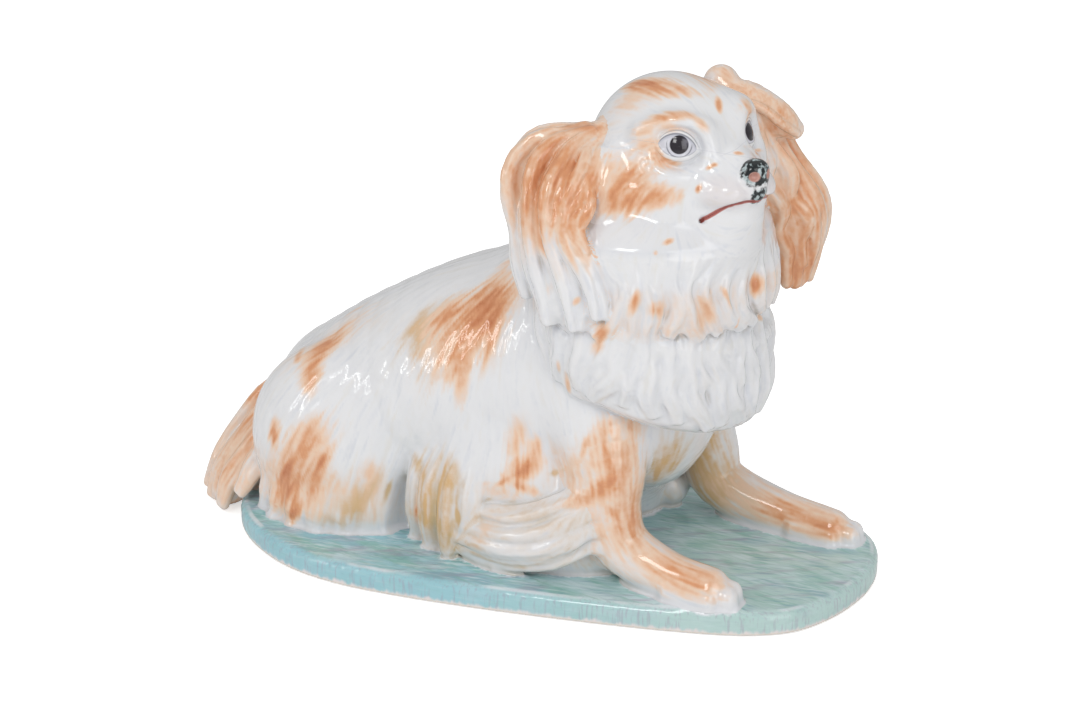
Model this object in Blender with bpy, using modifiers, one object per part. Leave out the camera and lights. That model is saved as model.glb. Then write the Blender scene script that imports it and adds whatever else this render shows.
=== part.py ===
"""Porcelain toy spaniel crouching on a grassy slab, in the pieces that are luted together with slip.

Metres, +Z up. The dog looks along +X with its left side towards +Y, and the slab stands on z = 0.
Heights of the dog's own points are measured from the top of the slab.
"""

import math

import bmesh
import bpy
from mathutils import Matrix, Vector

for old in list(bpy.data.objects):
    bpy.data.objects.remove(old, do_unlink=True)

# Joints, walls and the firing vent
seam = 0.0003  # slip joint left open between two pieces
wall = 0.0050  # thickness of the pressed shells
neck_wall = 0.0110  # thickness round the neck channel
head_hollow_radius = 0.0092
vent_radius = 0.0050
vent_place = (-0.034, 0.000)

# Slab, seen from above, from the rear corner along the dog's right side
slab_height = 0.0068
slab_edge = 0.0022  # rounding of its upper edge
slab_outline = [
    (-0.101, -0.024),
    (-0.086, -0.041),
    (-0.060, -0.053),
    (-0.020, -0.051),
    (0.037, -0.041),
    (0.071, -0.031),
    (0.083, -0.014),
    (0.088, 0.012),
    (0.080, 0.034),
    (0.050, 0.046),
    (0.000, 0.051),
    (-0.060, 0.049),
    (-0.094, 0.030),
    (-0.105, 0.002),
]

# Trunk: a thick roll from the rump to the shoulders, with the radius at each point
back = [
    ((-0.069, 0.000, 0.0250), 0.0280),
    ((-0.046, 0.000, 0.0360), 0.0315),
    ((-0.020, 0.000, 0.0470), 0.0335),
    ((0.004, 0.000, 0.0560), 0.0310),
]

# Lumps of clay on it, each a centre and three radii
breast = ((0.022, 0.000, 0.052), (0.021, 0.025, 0.034))
belly = ((-0.022, 0.000, 0.012), (0.056, 0.030, 0.024))
shoulder = ((0.002, 0.021, 0.046), (0.017, 0.010, 0.022))  # one on each side

# Breast down between the forelegs: points with the radius at each
apron = [
    ((0.030, -0.001, 0.044), 0.0140),
    ((0.028, -0.001, 0.028), 0.0125),
    ((0.025, -0.001, 0.012), 0.0100),
    ((0.023, -0.001, 0.002), 0.0090),
]

# Neck: points up the throat, with the radius at each
neck = [
    ((0.004, 0.000, 0.062), 0.0270),
    ((0.014, -0.002, 0.084), 0.0240),
    ((0.024, -0.004, 0.102), 0.0190),
]

# Haunches, mirrored about the dog's middle
thigh = ((-0.066, 0.0178, 0.021), (0.030, 0.0195, 0.030))
hock = ((-0.062, 0.0215, 0.005), (0.0235, 0.0140, 0.014))

# Forelegs: points down the leg, with the radius at each
right_leg = [
    ((0.012, -0.018, 0.052), 0.0160),
    ((0.019, -0.024, 0.034), 0.0120),
    ((0.0215, -0.0265, 0.021), 0.0092),
    ((0.026, -0.027, 0.0105), 0.0080),
    ((0.039, -0.028, 0.0050), 0.0070),
    ((0.056, -0.029, 0.0036), 0.0066),
]
left_leg = [
    ((0.014, 0.018, 0.052), 0.0150),
    ((0.026, 0.023, 0.034), 0.0105),
    ((0.031, 0.025, 0.021), 0.0088),
    ((0.035, 0.025, 0.0100), 0.0080),
    ((0.053, 0.0235, 0.0046), 0.0070),
    ((0.074, 0.022, 0.0030), 0.0066),
]

# Combed hair between elbow and haunch, mirrored for the left side: two rolls and the lump they hang from
elbow_hair = [
    ((0.016, 0.0265, 0.022), 0.0118),
    ((0.004, 0.0280, 0.012), 0.0118),
    ((-0.009, 0.0290, 0.007), 0.0095),
    ((-0.020, 0.0290, 0.003), 0.0065),
]
flank_hair = [
    ((-0.018, 0.022, 0.038), 0.0098),
    ((-0.025, 0.025, 0.020), 0.0108),
    ((-0.029, 0.026, 0.004), 0.0092),
]
flank = ((-0.008, 0.0210, 0.026), (0.022, 0.0140, 0.022))
crevice = ((0.0125, 0.0200, 0.0285), (0.0080, 0.0080, 0.0100))  # left open behind the elbow

# Head, in its own frame with x towards the nose and y to the dog's left
head_place = (0.028, -0.004, 0.1142)
head_yaw = math.radians(-26)
skull = ((0.000, 0.000, 0.0006), (0.0218, 0.0214, 0.0220))
forehead = ((0.0085, 0.000, 0.0060), (0.0130, 0.0155, 0.0120))
throat = ((0.002, 0.000, -0.013), (0.0200, 0.0212, 0.0140))
muzzle = ((0.0176, 0.000, -0.0042), (0.0148, 0.0110, 0.0095))
bridge = ((0.0200, 0.000, 0.0020), (0.0122, 0.0058, 0.0054))
chin = ((0.0220, 0.000, -0.0100), (0.0106, 0.0086, 0.0062))
nose = ((0.0320, 0.000, 0.0018), (0.0036, 0.0052, 0.0046))
jowl = ((-0.0027, -0.0197, -0.0082), (0.0090, 0.0080, 0.0140))  # under the right ear
temple = ((0.0105, 0.0080, 0.0050), (0.0120, 0.0092, 0.0125))  # beside the left eye
cheek = ((0.0080, 0.0097, -0.0083), (0.0137, 0.0108, 0.0120))  # one on each side, as are the next
eyeball = ((0.0158, 0.0120, 0.0078), (0.0046, 0.0050, 0.0048))

# Ears, as locks: points from root to tip, with the radius at each
right_ear_locks = [
    [
        ((0.0140, -0.0160, 0.1195), 0.0056),
        ((0.0065, -0.0215, 0.1160), 0.0062),
        ((0.0030, -0.0260, 0.1090), 0.0060),
        ((0.0050, -0.0295, 0.0980), 0.0054),
        ((0.0100, -0.0325, 0.0860), 0.0042),
        ((0.0130, -0.0335, 0.0790), 0.0030),
    ],
    [
        ((0.0100, -0.0180, 0.1220), 0.0036),
        ((0.0012, -0.0230, 0.1185), 0.0044),
        ((-0.0038, -0.0265, 0.1125), 0.0046),
        ((-0.0046, -0.0288, 0.1045), 0.0046),
        ((-0.0024, -0.0305, 0.0955), 0.0044),
        ((0.0016, -0.0330, 0.0815), 0.0024),
    ],
    [
        ((0.0117, -0.0190, 0.1222), 0.0036),
        ((0.0052, -0.0240, 0.1180), 0.0046),
        ((0.0010, -0.0295, 0.1100), 0.0048),
        ((0.0018, -0.0335, 0.0985), 0.0047),
        ((0.0064, -0.0356, 0.0880), 0.0042),
        ((0.0096, -0.0370, 0.0775), 0.0024),
    ],
    [
        ((0.0132, -0.0200, 0.1215), 0.0036),
        ((0.0096, -0.0260, 0.1175), 0.0046),
        ((0.0068, -0.0325, 0.1090), 0.0048),
        ((0.0100, -0.0362, 0.0985), 0.0047),
        ((0.0150, -0.0376, 0.0890), 0.0042),
        ((0.0174, -0.0390, 0.0775), 0.0024),
    ],
    [
        ((0.0140, -0.0200, 0.1195), 0.0036),
        ((0.0136, -0.0260, 0.1155), 0.0042),
        ((0.0124, -0.0324, 0.1075), 0.0044),
        ((0.0156, -0.0362, 0.0990), 0.0043),
        ((0.0208, -0.0376, 0.0905), 0.0039),
        ((0.0234, -0.0390, 0.0810), 0.0022),
    ],
]
left_ear_locks = [
    [
        ((0.0310, 0.0120, 0.1250), 0.0062),
        ((0.0390, 0.0160, 0.1200), 0.0064),
        ((0.0440, 0.0205, 0.1110), 0.0062),
        ((0.0480, 0.0245, 0.0990), 0.0060),
        ((0.0505, 0.0275, 0.0880), 0.0054),
        ((0.0515, 0.0285, 0.0790), 0.0038),
    ],
    [
        ((0.0390, 0.0125, 0.1275), 0.0036),
        ((0.0440, 0.0150, 0.1190), 0.0044),
        ((0.0466, 0.0180, 0.1085), 0.0046),
        ((0.0490, 0.0210, 0.0970), 0.0046),
        ((0.0504, 0.0240, 0.0850), 0.0044),
        ((0.0512, 0.0260, 0.0745), 0.0030),
    ],
    [
        ((0.0420, 0.0155, 0.1278), 0.0036),
        ((0.0462, 0.0184, 0.1185), 0.0044),
        ((0.0499, 0.0230, 0.1080), 0.0046),
        ((0.0535, 0.0268, 0.0968), 0.0046),
        ((0.0547, 0.0292, 0.0858), 0.0044),
        ((0.0538, 0.0298, 0.0740), 0.0030),
    ],
    [
        ((0.0440, 0.0185, 0.1266), 0.0034),
        ((0.0478, 0.0215, 0.1175), 0.0042),
        ((0.0510, 0.0260, 0.1080), 0.0044),
        ((0.0560, 0.0310, 0.0980), 0.0044),
        ((0.0572, 0.0330, 0.0890), 0.0040),
        ((0.0556, 0.0330, 0.0775), 0.0028),
    ],
    [
        ((0.0280, 0.0180, 0.1250), 0.0045),
        ((0.0340, 0.0245, 0.1180), 0.0052),
        ((0.0405, 0.0290, 0.1070), 0.0052),
        ((0.0450, 0.0318, 0.0940), 0.0052),
        ((0.0475, 0.0325, 0.0830), 0.0046),
        ((0.0485, 0.0320, 0.0735), 0.0026),
    ],
    [  # the fold over the top of the ear
        ((0.0350, 0.0133, 0.1305), 0.0047),
        ((0.0385, 0.0130, 0.1292), 0.0044),
        ((0.0450, 0.0145, 0.1260), 0.0048),
        ((0.0504, 0.0170, 0.1224), 0.0044),
        ((0.0538, 0.0205, 0.1186), 0.0030),
    ],
]

# Ruff: tiers of pointed locks round an upright line through the neck
ruff_axis = (0.022, -0.004)
ruff_reach = math.radians(125)  # how far each tier runs back on either side of the breast
ruff_turn = math.radians(-8)
ruff_back = 0.20  # share by which a tier is drawn in behind the neck
lock_radius = 0.0048
tip_radius = 0.0018
lock_sway = 0.07  # how far a lock swings to either side on its way down, in radians
lock_unevenness = 0.0020  # how much longer or shorter a lock may be than its neighbours
ruff_tiers = {  # name: locks, lean to the front, then height and distance of root, knee and tip
    "ruff_upper": (17, 0.00, (0.0930, 0.0270), (0.0850, 0.0297), (0.0765, 0.0330)),
    "ruff_middle": (17, 0.27, (0.0820, 0.0260), (0.0740, 0.0292), (0.0655, 0.0322)),
    "ruff_lower": (17, 0.38, (0.0740, 0.0265), (0.0660, 0.0294), (0.0560, 0.0318)),
}
collar_shape = {  # name: height of the collar's middle, radius and half its depth
    "ruff_upper": (0.0900, 0.0338, 0.0140),
    "ruff_middle": (0.0745, 0.0325, 0.0130),
    "ruff_lower": (0.0660, 0.0325, 0.0125),
}

# Tail, as locks from the rump down behind the slab
tail_locks = [
    [
        ((-0.084, -0.008, 0.023), 0.0090),
        ((-0.095, -0.010, 0.015), 0.0086),
        ((-0.102, -0.0145, 0.006), 0.0068),
        ((-0.106, -0.018, -0.001), 0.0038),
    ],
    [
        ((-0.086, 0.000, 0.030), 0.0040),
        ((-0.0995, -0.002, 0.023), 0.0050),
        ((-0.107, -0.007, 0.014), 0.0048),
        ((-0.1115, -0.012, 0.006), 0.0042),
        ((-0.114, -0.016, -0.0025), 0.0026),
    ],
    [
        ((-0.086, -0.006, 0.028), 0.0040),
        ((-0.097, -0.009, 0.021), 0.0050),
        ((-0.1035, -0.014, 0.012), 0.0050),
        ((-0.108, -0.018, 0.0035), 0.0044),
        ((-0.1105, -0.020, -0.0035), 0.0026),
    ],
    [
        ((-0.085, -0.011, 0.026), 0.0040),
        ((-0.0945, -0.015, 0.0185), 0.0048),
        ((-0.0995, -0.020, 0.010), 0.0048),
        ((-0.1035, -0.023, 0.0025), 0.0040),
        ((-0.106, -0.0235, -0.004), 0.0024),
    ],
]

# How finely each form is worked: grain, softening passes and triangles
trunk_work = (0.0020, 16, 1200)
trunk_hollow_work = (0.0025, 12, 420)
channel_work = (0.0015, 4, 240)
head_work = (0.0011, 6, 1400)
haunch_work = (0.0018, 10, 700)
leg_work = (0.0013, 5, 640)
hair_work = (0.0015, 6, 600)
ear_work = (0.0010, 3, 900)
tail_work = (0.0011, 3, 600)
ruff_work = {
    "ruff_upper": (0.0012, 2, 860),
    "ruff_middle": (0.0012, 2, 860),
    "ruff_lower": (0.0012, 2, 860),
}
lump_rings = (28, 16)  # sides and rings of a lump
post_sides = 32
ground_size = (0.4, 0.4, 0.05)

# Colours: linear red, green and blue, then roughness
white_glaze = ((0.83, 0.83, 0.86), 0.12)
orange_enamel = ((0.72, 0.36, 0.18), 0.14)
cream_glaze = ((0.80, 0.68, 0.52), 0.13)
green_enamel = ((0.27, 0.55, 0.50), 0.15)

collection = bpy.data.collections.new("porcelain_spaniel")
cutters = bpy.data.collections.new("cutters")
for group in (collection, cutters):
    bpy.context.scene.collection.children.link(group)


def paint(piece, finish):
    colour, roughness = finish
    material = bpy.data.materials.new(piece.name + "_glaze")
    material.use_nodes = True
    shader = material.node_tree.nodes["Principled BSDF"]
    shader.inputs["Base Color"].default_value = (*colour, 1.0)
    shader.inputs["Roughness"].default_value = roughness
    shader.inputs["Metallic"].default_value = 0.0
    piece.data.materials.clear()
    piece.data.materials.append(material)
    piece.data.shade_smooth()
    piece.data.set_sharp_from_angle(angle=math.radians(50))


def make_object(name, form, group):
    mesh = bpy.data.meshes.new(name)
    form.to_mesh(mesh)
    form.free()
    piece = bpy.data.objects.new(name, mesh)
    group.objects.link(piece)
    if group is cutters:
        piece.display_type = "WIRE"
        piece.hide_render = True
    return piece


def settle(piece):
    """Keep what the modifiers make of the piece, as its mesh."""
    graph = bpy.context.evaluated_depsgraph_get()
    mesh = bpy.data.meshes.new_from_object(piece.evaluated_get(graph))
    piece.modifiers.clear()
    piece.data = mesh


def add_lump(form, lump, place=Matrix.Identity(4)):
    centre, radii = lump
    matrix = place @ Matrix.Translation(centre) @ Matrix.Diagonal((*radii, 1.0))
    sides, rings = lump_rings
    bmesh.ops.create_uvsphere(form, u_segments=sides, v_segments=rings, radius=1.0, matrix=matrix)


def add_roll(form, points, place=Matrix.Identity(4)):
    """A tapered roll with round ends, as a curve whose bevel follows the radius at each point."""
    curve = bpy.data.curves.new("roll", "CURVE")
    curve.dimensions = "3D"
    curve.bevel_depth = 1.0
    curve.bevel_resolution = 3
    curve.resolution_u = 5
    curve.use_fill_caps = True
    spline = curve.splines.new("BEZIER")
    spline.bezier_points.add(len(points) - 1)
    for knot, (centre, radius) in zip(spline.bezier_points, points):
        knot.co = centre
        knot.radius = radius
        knot.handle_left_type = "AUTO"
        knot.handle_right_type = "AUTO"
    guide = bpy.data.objects.new("roll", curve)
    cutters.objects.link(guide)
    graph = bpy.context.evaluated_depsgraph_get()
    tube = bpy.data.meshes.new_from_object(guide.evaluated_get(graph))
    tube.transform(place)
    form.from_mesh(tube)
    bpy.data.objects.remove(guide, do_unlink=True)
    for centre, radius in (points[0], points[-1]):
        add_lump(form, (centre, (radius, radius, radius)), place)


def fuse(name, form, work, group=collection):
    """Work loose lumps and rolls into one smooth body of about the given number of triangles."""
    grain, softening, faces = work
    piece = make_object(name, form, group)
    remesh = piece.modifiers.new("fuse", "REMESH")
    remesh.mode = "VOXEL"
    remesh.voxel_size = grain
    smooth = piece.modifiers.new("smooth", "SMOOTH")
    smooth.iterations = softening
    settle(piece)
    keep_largest(piece)
    triangles = 2 * len(piece.data.polygons)
    thin = piece.modifiers.new("thin", "DECIMATE")
    thin.ratio = min(1.0, faces / triangles)
    thin.use_collapse_triangulate = True
    settle(piece)
    return piece


def keep_largest(piece):
    """Drop the crumbs that a cut leaves."""
    form = bmesh.new()
    form.from_mesh(piece.data)
    left = set(form.verts)
    bodies = []
    while left:
        body = {left.pop()}
        edge = list(body)
        while edge:
            near = {link.other_vert(vert) for vert in edge for link in vert.link_edges}
            edge = list(near - body)
            body |= near
        left -= body
        bodies.append(body)
    bodies.sort(key=len, reverse=True)
    for crumb in bodies[1:]:
        bmesh.ops.delete(form, geom=list(crumb), context="VERTS")
    form.to_mesh(piece.data)
    form.free()


def swell(piece, amount):
    """A copy of the piece, grown by the amount, to cut its neighbours with."""
    form = bmesh.new()
    form.from_mesh(piece.data)
    form.normal_update()
    for vert in form.verts:
        vert.co += vert.normal * amount * vert.calc_shell_factor()
    return make_object(piece.name + "_cutter", form, cutters)


def boxes_meet(piece, tool):
    sides = zip(*(zip(*(corner[:] for corner in item.bound_box)) for item in (piece, tool)))
    return all(min(a) < max(b) and min(b) < max(a) for a, b in sides)


def cut(piece, tools):
    for tool in tools:
        if not boxes_meet(piece, tool):
            continue
        trim = piece.modifiers.new("cut", "BOOLEAN")
        trim.operation = "DIFFERENCE"
        trim.solver = "EXACT"
        trim.use_self = True
        trim.object = tool
        settle(piece)
    keep_largest(piece)


def upright_block(outline, low, high):
    """A flat block with the outline seen from above."""
    form = bmesh.new()
    ring = [form.verts.new((x, y, low)) for x, y in outline]
    bottom = form.faces.new(ring)
    raised = bmesh.ops.extrude_face_region(form, geom=[bottom])
    for item in raised["geom"]:
        if isinstance(item, bmesh.types.BMVert):
            item.co.z = high
    bmesh.ops.recalc_face_normals(form, faces=form.faces)
    return form


def upright_post(name, place, radius, low, high):
    form = bmesh.new()
    middle = Matrix.Translation((*place, (low + high) / 2))
    bmesh.ops.create_cone(
        form,
        cap_ends=True,
        segments=post_sides,
        radius1=radius,
        radius2=radius,
        depth=high - low,
        matrix=middle,
    )
    return make_object(name, form, cutters)


def rounded_outline(points, steps):
    """Cut the corners of a closed outline over and over until it runs round."""
    for _ in range(steps):
        finer = []
        for here, ahead in zip(points, points[1:] + points[:1]):
            start = Vector(here)
            run = Vector(ahead) - start
            finer += [tuple(start + run * 0.25), tuple(start + run * 0.75)]
        points = finer
    return points


def mirrored(lump):
    (x, y, z), radii = lump
    return ((x, -y, z), radii)


def mirrored_roll(points):
    return [((x, -y, z), radius) for (x, y, z), radius in points]


standing = Matrix.Translation((0.0, 0.0, slab_height))
head_frame = standing @ Matrix.Translation(head_place) @ Matrix.Rotation(head_yaw, 4, "Z")


def make_slab():
    outline = rounded_outline(slab_outline, 2)
    slab = make_object("base_slab", upright_block(outline, 0.0, slab_height), collection)
    soften = slab.modifiers.new("edge", "BEVEL")
    soften.width = slab_edge
    soften.segments = 2
    soften.limit_method = "ANGLE"
    soften.angle_limit = math.radians(60)
    settle(slab)
    return slab


def make_ground():
    """Everything below the seam on top of the slab, to cut the feet flat."""
    form = bmesh.new()
    matrix = Matrix.Translation((0.0, 0.0, slab_height + seam - ground_size[2] / 2))
    matrix = matrix @ Matrix.Diagonal((*ground_size, 1.0))
    bmesh.ops.create_cube(form, size=1.0, matrix=matrix)
    return make_object("ground_cutter", form, cutters)


def make_trunk_form():
    form = bmesh.new()
    for lump in (breast, belly, shoulder, mirrored(shoulder)):
        add_lump(form, lump, standing)
    for points in (back, neck, apron):
        add_roll(form, points, standing)
    return fuse("trunk_shell", form, trunk_work)


def make_trunk_hollow():
    form = bmesh.new()
    for centre, radii in (breast, belly):
        add_lump(form, (centre, [radius - wall for radius in radii]), standing)
    add_roll(form, [(centre, radius - wall) for centre, radius in back], standing)
    return fuse("trunk_hollow", form, trunk_hollow_work, cutters)


def make_channel():
    """The channel through the neck that joins the hollows of trunk and head."""
    form = bmesh.new()
    run = [(place, radius - neck_wall) for place, radius in neck]
    run.append((head_place, head_hollow_radius))
    add_roll(form, run, standing)
    return fuse("neck_channel", form, channel_work, cutters)


def make_head_form():
    form = bmesh.new()
    for lump in (skull, forehead, throat, muzzle, bridge, chin, nose, jowl, temple):
        add_lump(form, lump, head_frame)
    for lump in (cheek, eyeball):
        add_lump(form, lump, head_frame)
        add_lump(form, mirrored(lump), head_frame)
    return fuse("head_shell", form, head_work)


def make_haunch(name, side):
    form = bmesh.new()
    for lump in (thigh, hock):
        add_lump(form, lump if side > 0 else mirrored(lump), standing)
    return fuse(name, form, haunch_work)


def make_leg(name, points):
    form = bmesh.new()
    add_roll(form, points, standing)
    return fuse(name, form, leg_work)


def make_belly_hair(name, side):
    form = bmesh.new()
    for points in (elbow_hair, flank_hair):
        add_roll(form, points if side > 0 else mirrored_roll(points), standing)
    add_lump(form, flank if side > 0 else mirrored(flank), standing)
    piece = fuse(name, form, hair_work)
    gap = bmesh.new()
    add_lump(gap, crevice if side > 0 else mirrored(crevice), standing)
    cut(piece, [make_object(name + "_crevice", gap, cutters)])
    return piece


def make_ear(name, locks):
    form = bmesh.new()
    for points in locks:
        add_roll(form, points, standing)
    return fuse(name, form, ear_work)


def make_tail():
    form = bmesh.new()
    for points in tail_locks:
        add_roll(form, points, standing)
    return fuse("tail", form, tail_work)


def make_ruff(name):
    """One tier: a collar with pointed locks all round it, a little uneven in reach and lie."""
    count, lean, root, knee, tip = ruff_tiers[name]
    middle_z, radius, depth = collar_shape[name]
    place = standing @ Matrix.Translation((*ruff_axis, 0.0))
    tilted = Matrix.Identity(4)
    tilted[2][0] = -lean
    place = place @ tilted
    form = bmesh.new()
    drawn = ruff_back * radius / 2
    add_lump(form, ((drawn, 0.0, middle_z), (radius - drawn, radius, depth)), place)
    for index in range(count):
        share = index / (count - 1)
        angle = ruff_turn + ruff_reach * (2 * share - 1)
        sway = lock_sway * math.sin(2.4 * index)
        reach = lock_unevenness * math.sin(1.7 * index + 1.0)
        middle = ((knee[0] + tip[0]) / 2, (knee[1] + tip[1]) / 2)
        points = []
        for (z, out), turn, longer, thick in (
            (root, 0.0, 0.0, lock_radius),
            (knee, sway, 0.0, lock_radius),
            (middle, -sway, 0.0, 0.8 * lock_radius),
            (tip, 0.5 * sway, reach, tip_radius),
        ):
            inward = 1 - ruff_back * max(-math.cos(angle), 0.0) ** 2
            x = out * inward * math.cos(angle + turn)
            y = out * inward * math.sin(angle + turn)
            points.append(((x, y, z + longer), thick))
        add_roll(form, points, place)
    return fuse(name, form, ruff_work[name])


slab = make_slab()
ground = make_ground()
trunk = make_trunk_form()
cut(trunk, [ground])
trunk_room = swell(trunk, seam)
head = make_head_form()
cut(head, [trunk_room])
head_room = swell(head, seam)

carriers = [trunk_room, head_room]
applied = [
    (make_leg("foreleg_right", right_leg), orange_enamel),
    (make_leg("foreleg_left", left_leg), orange_enamel),
    (make_haunch("haunch_right", -1), white_glaze),
    (make_haunch("haunch_left", 1), white_glaze),
    (make_belly_hair("belly_hair_right", -1), cream_glaze),
    (make_belly_hair("belly_hair_left", 1), cream_glaze),
    (make_ear("ear_right", right_ear_locks), orange_enamel),
    (make_ear("ear_left", left_ear_locks), orange_enamel),
    (make_ruff("ruff_upper"), white_glaze),
    (make_ruff("ruff_middle"), white_glaze),
    (make_ruff("ruff_lower"), white_glaze),
]
for piece, finish in applied:
    cut(piece, [ground] + carriers)
    carriers.append(swell(piece, seam))
    paint(piece, finish)

tail = make_tail()
cut(tail, [swell(slab, seam)] + carriers)
paint(tail, orange_enamel)

channel = make_channel()
cut(trunk, [make_trunk_hollow(), channel])
cut(head, [channel])
paint(trunk, white_glaze)
paint(head, white_glaze)

cut(slab, [upright_post("vent_cutter", vent_place, vent_radius, -slab_height, 2 * slab_height)])
paint(slab, green_enamel)
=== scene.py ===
import math

import bpy
import numpy as np
import openvdb
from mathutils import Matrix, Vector


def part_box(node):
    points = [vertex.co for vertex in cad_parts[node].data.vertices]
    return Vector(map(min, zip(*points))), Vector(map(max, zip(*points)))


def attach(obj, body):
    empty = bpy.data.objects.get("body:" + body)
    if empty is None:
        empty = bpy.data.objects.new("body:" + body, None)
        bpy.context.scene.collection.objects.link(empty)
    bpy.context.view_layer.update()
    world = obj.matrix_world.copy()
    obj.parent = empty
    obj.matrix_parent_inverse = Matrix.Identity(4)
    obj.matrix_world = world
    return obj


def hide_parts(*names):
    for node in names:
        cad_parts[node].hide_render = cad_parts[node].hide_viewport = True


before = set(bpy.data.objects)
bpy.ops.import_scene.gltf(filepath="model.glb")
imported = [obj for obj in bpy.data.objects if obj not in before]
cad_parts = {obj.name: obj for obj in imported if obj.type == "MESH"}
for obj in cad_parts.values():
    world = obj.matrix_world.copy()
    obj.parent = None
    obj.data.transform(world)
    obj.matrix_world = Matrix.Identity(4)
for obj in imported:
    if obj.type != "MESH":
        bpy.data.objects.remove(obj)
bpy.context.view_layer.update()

# The dog is worked as soft clay on a fine grid, in millimetres, with z = 0 on top of the slab.
# Every piece has a field that is negative inside it. The fields are blended into one skin, and
# each piece takes its own share of that skin, so the glaze runs over the joints as on the real one.
mm = 0.001
draft = 1.0
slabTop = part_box("base_slab")[1].z / mm
photoCamera = {  # fitted to the slab, the paws and the head in the photo
    "turn": math.radians(25),
    "tilt": math.radians(21),
    "away": 0.56,
    "aim": Vector((0, -0.0245, 0.066)),
    "lens": 69.1357,
    "film": 36,
    "frame": (1080, 720),
}
cameraRight = Vector((math.cos(photoCamera["turn"]), math.sin(photoCamera["turn"]), 0))
cameraBack = Vector((cameraRight.y, -cameraRight.x, 0)) * math.cos(photoCamera["tilt"])
cameraBack.z = math.sin(photoCamera["tilt"])
cameraPlace = photoCamera["aim"] + cameraBack * photoCamera["away"]
dice = np.random.default_rng(41)


# Clay tools: grids, lumps, rolls and strands
def makeGrid(low, high, grain):
    low = np.asarray(low, float)
    size = np.ceil((np.asarray(high, float) - low) / grain).astype(int) + 1
    return {"low": low, "grain": grain, "size": size}


def cellsNear(grid, low, high):
    first = np.floor((low - grid["low"]) / grid["grain"]).astype(int)
    last = np.ceil((high - grid["low"]) / grid["grain"]).astype(int) + 1
    first, last = np.maximum(first, 0), np.minimum(last, grid["size"])
    return (first, last) if np.all(first < last) else None


def cellAxes(grid, first, last):
    ticks = [grid["low"][i] + grid["grain"] * np.arange(first[i], last[i]) for i in range(3)]
    x, y, z = (tick.astype(np.float32) for tick in ticks)
    return x[:, None, None], y[None, :, None], z[None, None, :]


def unit(vectors):
    vectors = np.asarray(vectors, float)
    return vectors / np.maximum(np.linalg.norm(vectors, axis=-1, keepdims=True), 1e-9)


def softMin(a, b, blend):
    overlap = np.maximum(blend - np.abs(a - b), 0) / blend
    return np.minimum(a, b) - overlap * overlap * (blend * 0.25)


def smoothPath(knots, steps):
    knots = np.asarray(knots, float)
    padded = np.vstack([2 * knots[0] - knots[1], knots, 2 * knots[-1] - knots[-2]])
    path = []
    for a, b, c, d in zip(padded, padded[1:], padded[2:], padded[3:]):
        for t in np.arange(steps) / steps:
            cubic = 2 * b + (c - a) * t + (2 * a - 5 * b + 4 * c - d) * t**2 + (3 * b - a - 3 * c + d) * t**3
            path.append(cubic / 2)
    return np.array(path + [knots[-1]])


def lump(place, radii, blend=3.0, axes=None, dig=False):
    axes = np.eye(3) if axes is None else np.asarray(axes, float)
    place, radii = np.array(place, float), np.array(radii, float)
    half = np.sqrt(((axes * radii) ** 2).sum(axis=1))
    return {"kind": "lump", "place": place, "radii": radii, "axes": axes, "blend": blend, "dig": dig,
            "box": (place - half, place + half)}


def roll(knots, blend=3.0, dig=False, steps=4):  # each knot is x, y, z and radius
    path = smoothPath(knots, steps)
    path[:, 3] = np.maximum(path[:, 3], 0.15)
    reach = path[:, 3:]
    box = ((path[:, :3] - reach).min(axis=0), (path[:, :3] + reach).max(axis=0))
    return {"kind": "roll", "path": path, "blend": blend, "dig": dig, "box": box}


def drum(axis, profile, blend=3.0, back=0.0, tilt=0.0):  # profile: height and radius, from below
    heights, radii = smoothPath(profile, 6).T
    wide, rise = radii.max(), 3 * tilt * radii.max()
    low = np.array([axis[0] - wide, axis[1] - wide, heights[0] - rise])
    high = np.array([axis[0] + wide, axis[1] + wide, heights[-1] + rise])
    return {"kind": "drum", "axis": axis, "heights": heights, "radii": radii, "blend": blend, "dig": False,
            "back": back, "tilt": tilt, "box": (low, high)}


far = 12.0  # what a field says where nothing is near


def lumpField(part, x, y, z):
    px, py, pz = (axis - np.float32(at) for axis, at in zip((x, y, z), part["place"]))
    outer = inner = 0
    for i in range(3):
        a = part["axes"][:, i].astype(np.float32)
        q = (px * a[0] + py * a[1] + pz * a[2]) / np.float32(part["radii"][i])
        outer = outer + q * q
        q = q / np.float32(part["radii"][i])
        inner = inner + q * q
    outer = np.sqrt(outer)
    return outer * (outer - 1) / np.sqrt(np.maximum(inner, 1e-9))


def hangOf(tilt, ahead):  # how far a ring sinks in front of its axis and rises far behind it
    return np.interp(ahead, (-60, -9, 0, 60), (-120 * tilt, 0, 0, 60 * tilt))


def drumField(part, x, y, z):  # round about an upright axis, drawn in at the back, sheared by tilt
    dx, dy = x - np.float32(part["axis"][0]), y - np.float32(part["axis"][1])
    away = np.sqrt(dx * dx + dy * dy)
    away = away / (1 - part["back"] * np.clip(-dx / np.maximum(away, 0.1), 0, 1) ** 2)
    height = z + hangOf(part["tilt"], dx).astype(np.float32)
    radius = np.interp(height, part["heights"], part["radii"])
    slope = np.interp(height, part["heights"], np.gradient(part["radii"], part["heights"]))
    return ((away - radius) / np.sqrt(1 + slope * slope)).astype(np.float32)


def segmentField(start, end, x, y, z):
    run = (end[:3] - start[:3]).astype(np.float32)
    px, py, pz = (axis - np.float32(at) for axis, at in zip((x, y, z), start))
    share = (px * run[0] + py * run[1] + pz * run[2]) / max(float(run @ run), 1e-9)
    share = np.clip(share, 0, 1)
    away = (px - share * run[0]) ** 2 + (py - share * run[1]) ** 2 + (pz - share * run[2]) ** 2
    return np.sqrt(away) - np.float32(start[3]) - share * np.float32(end[3] - start[3])


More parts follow.
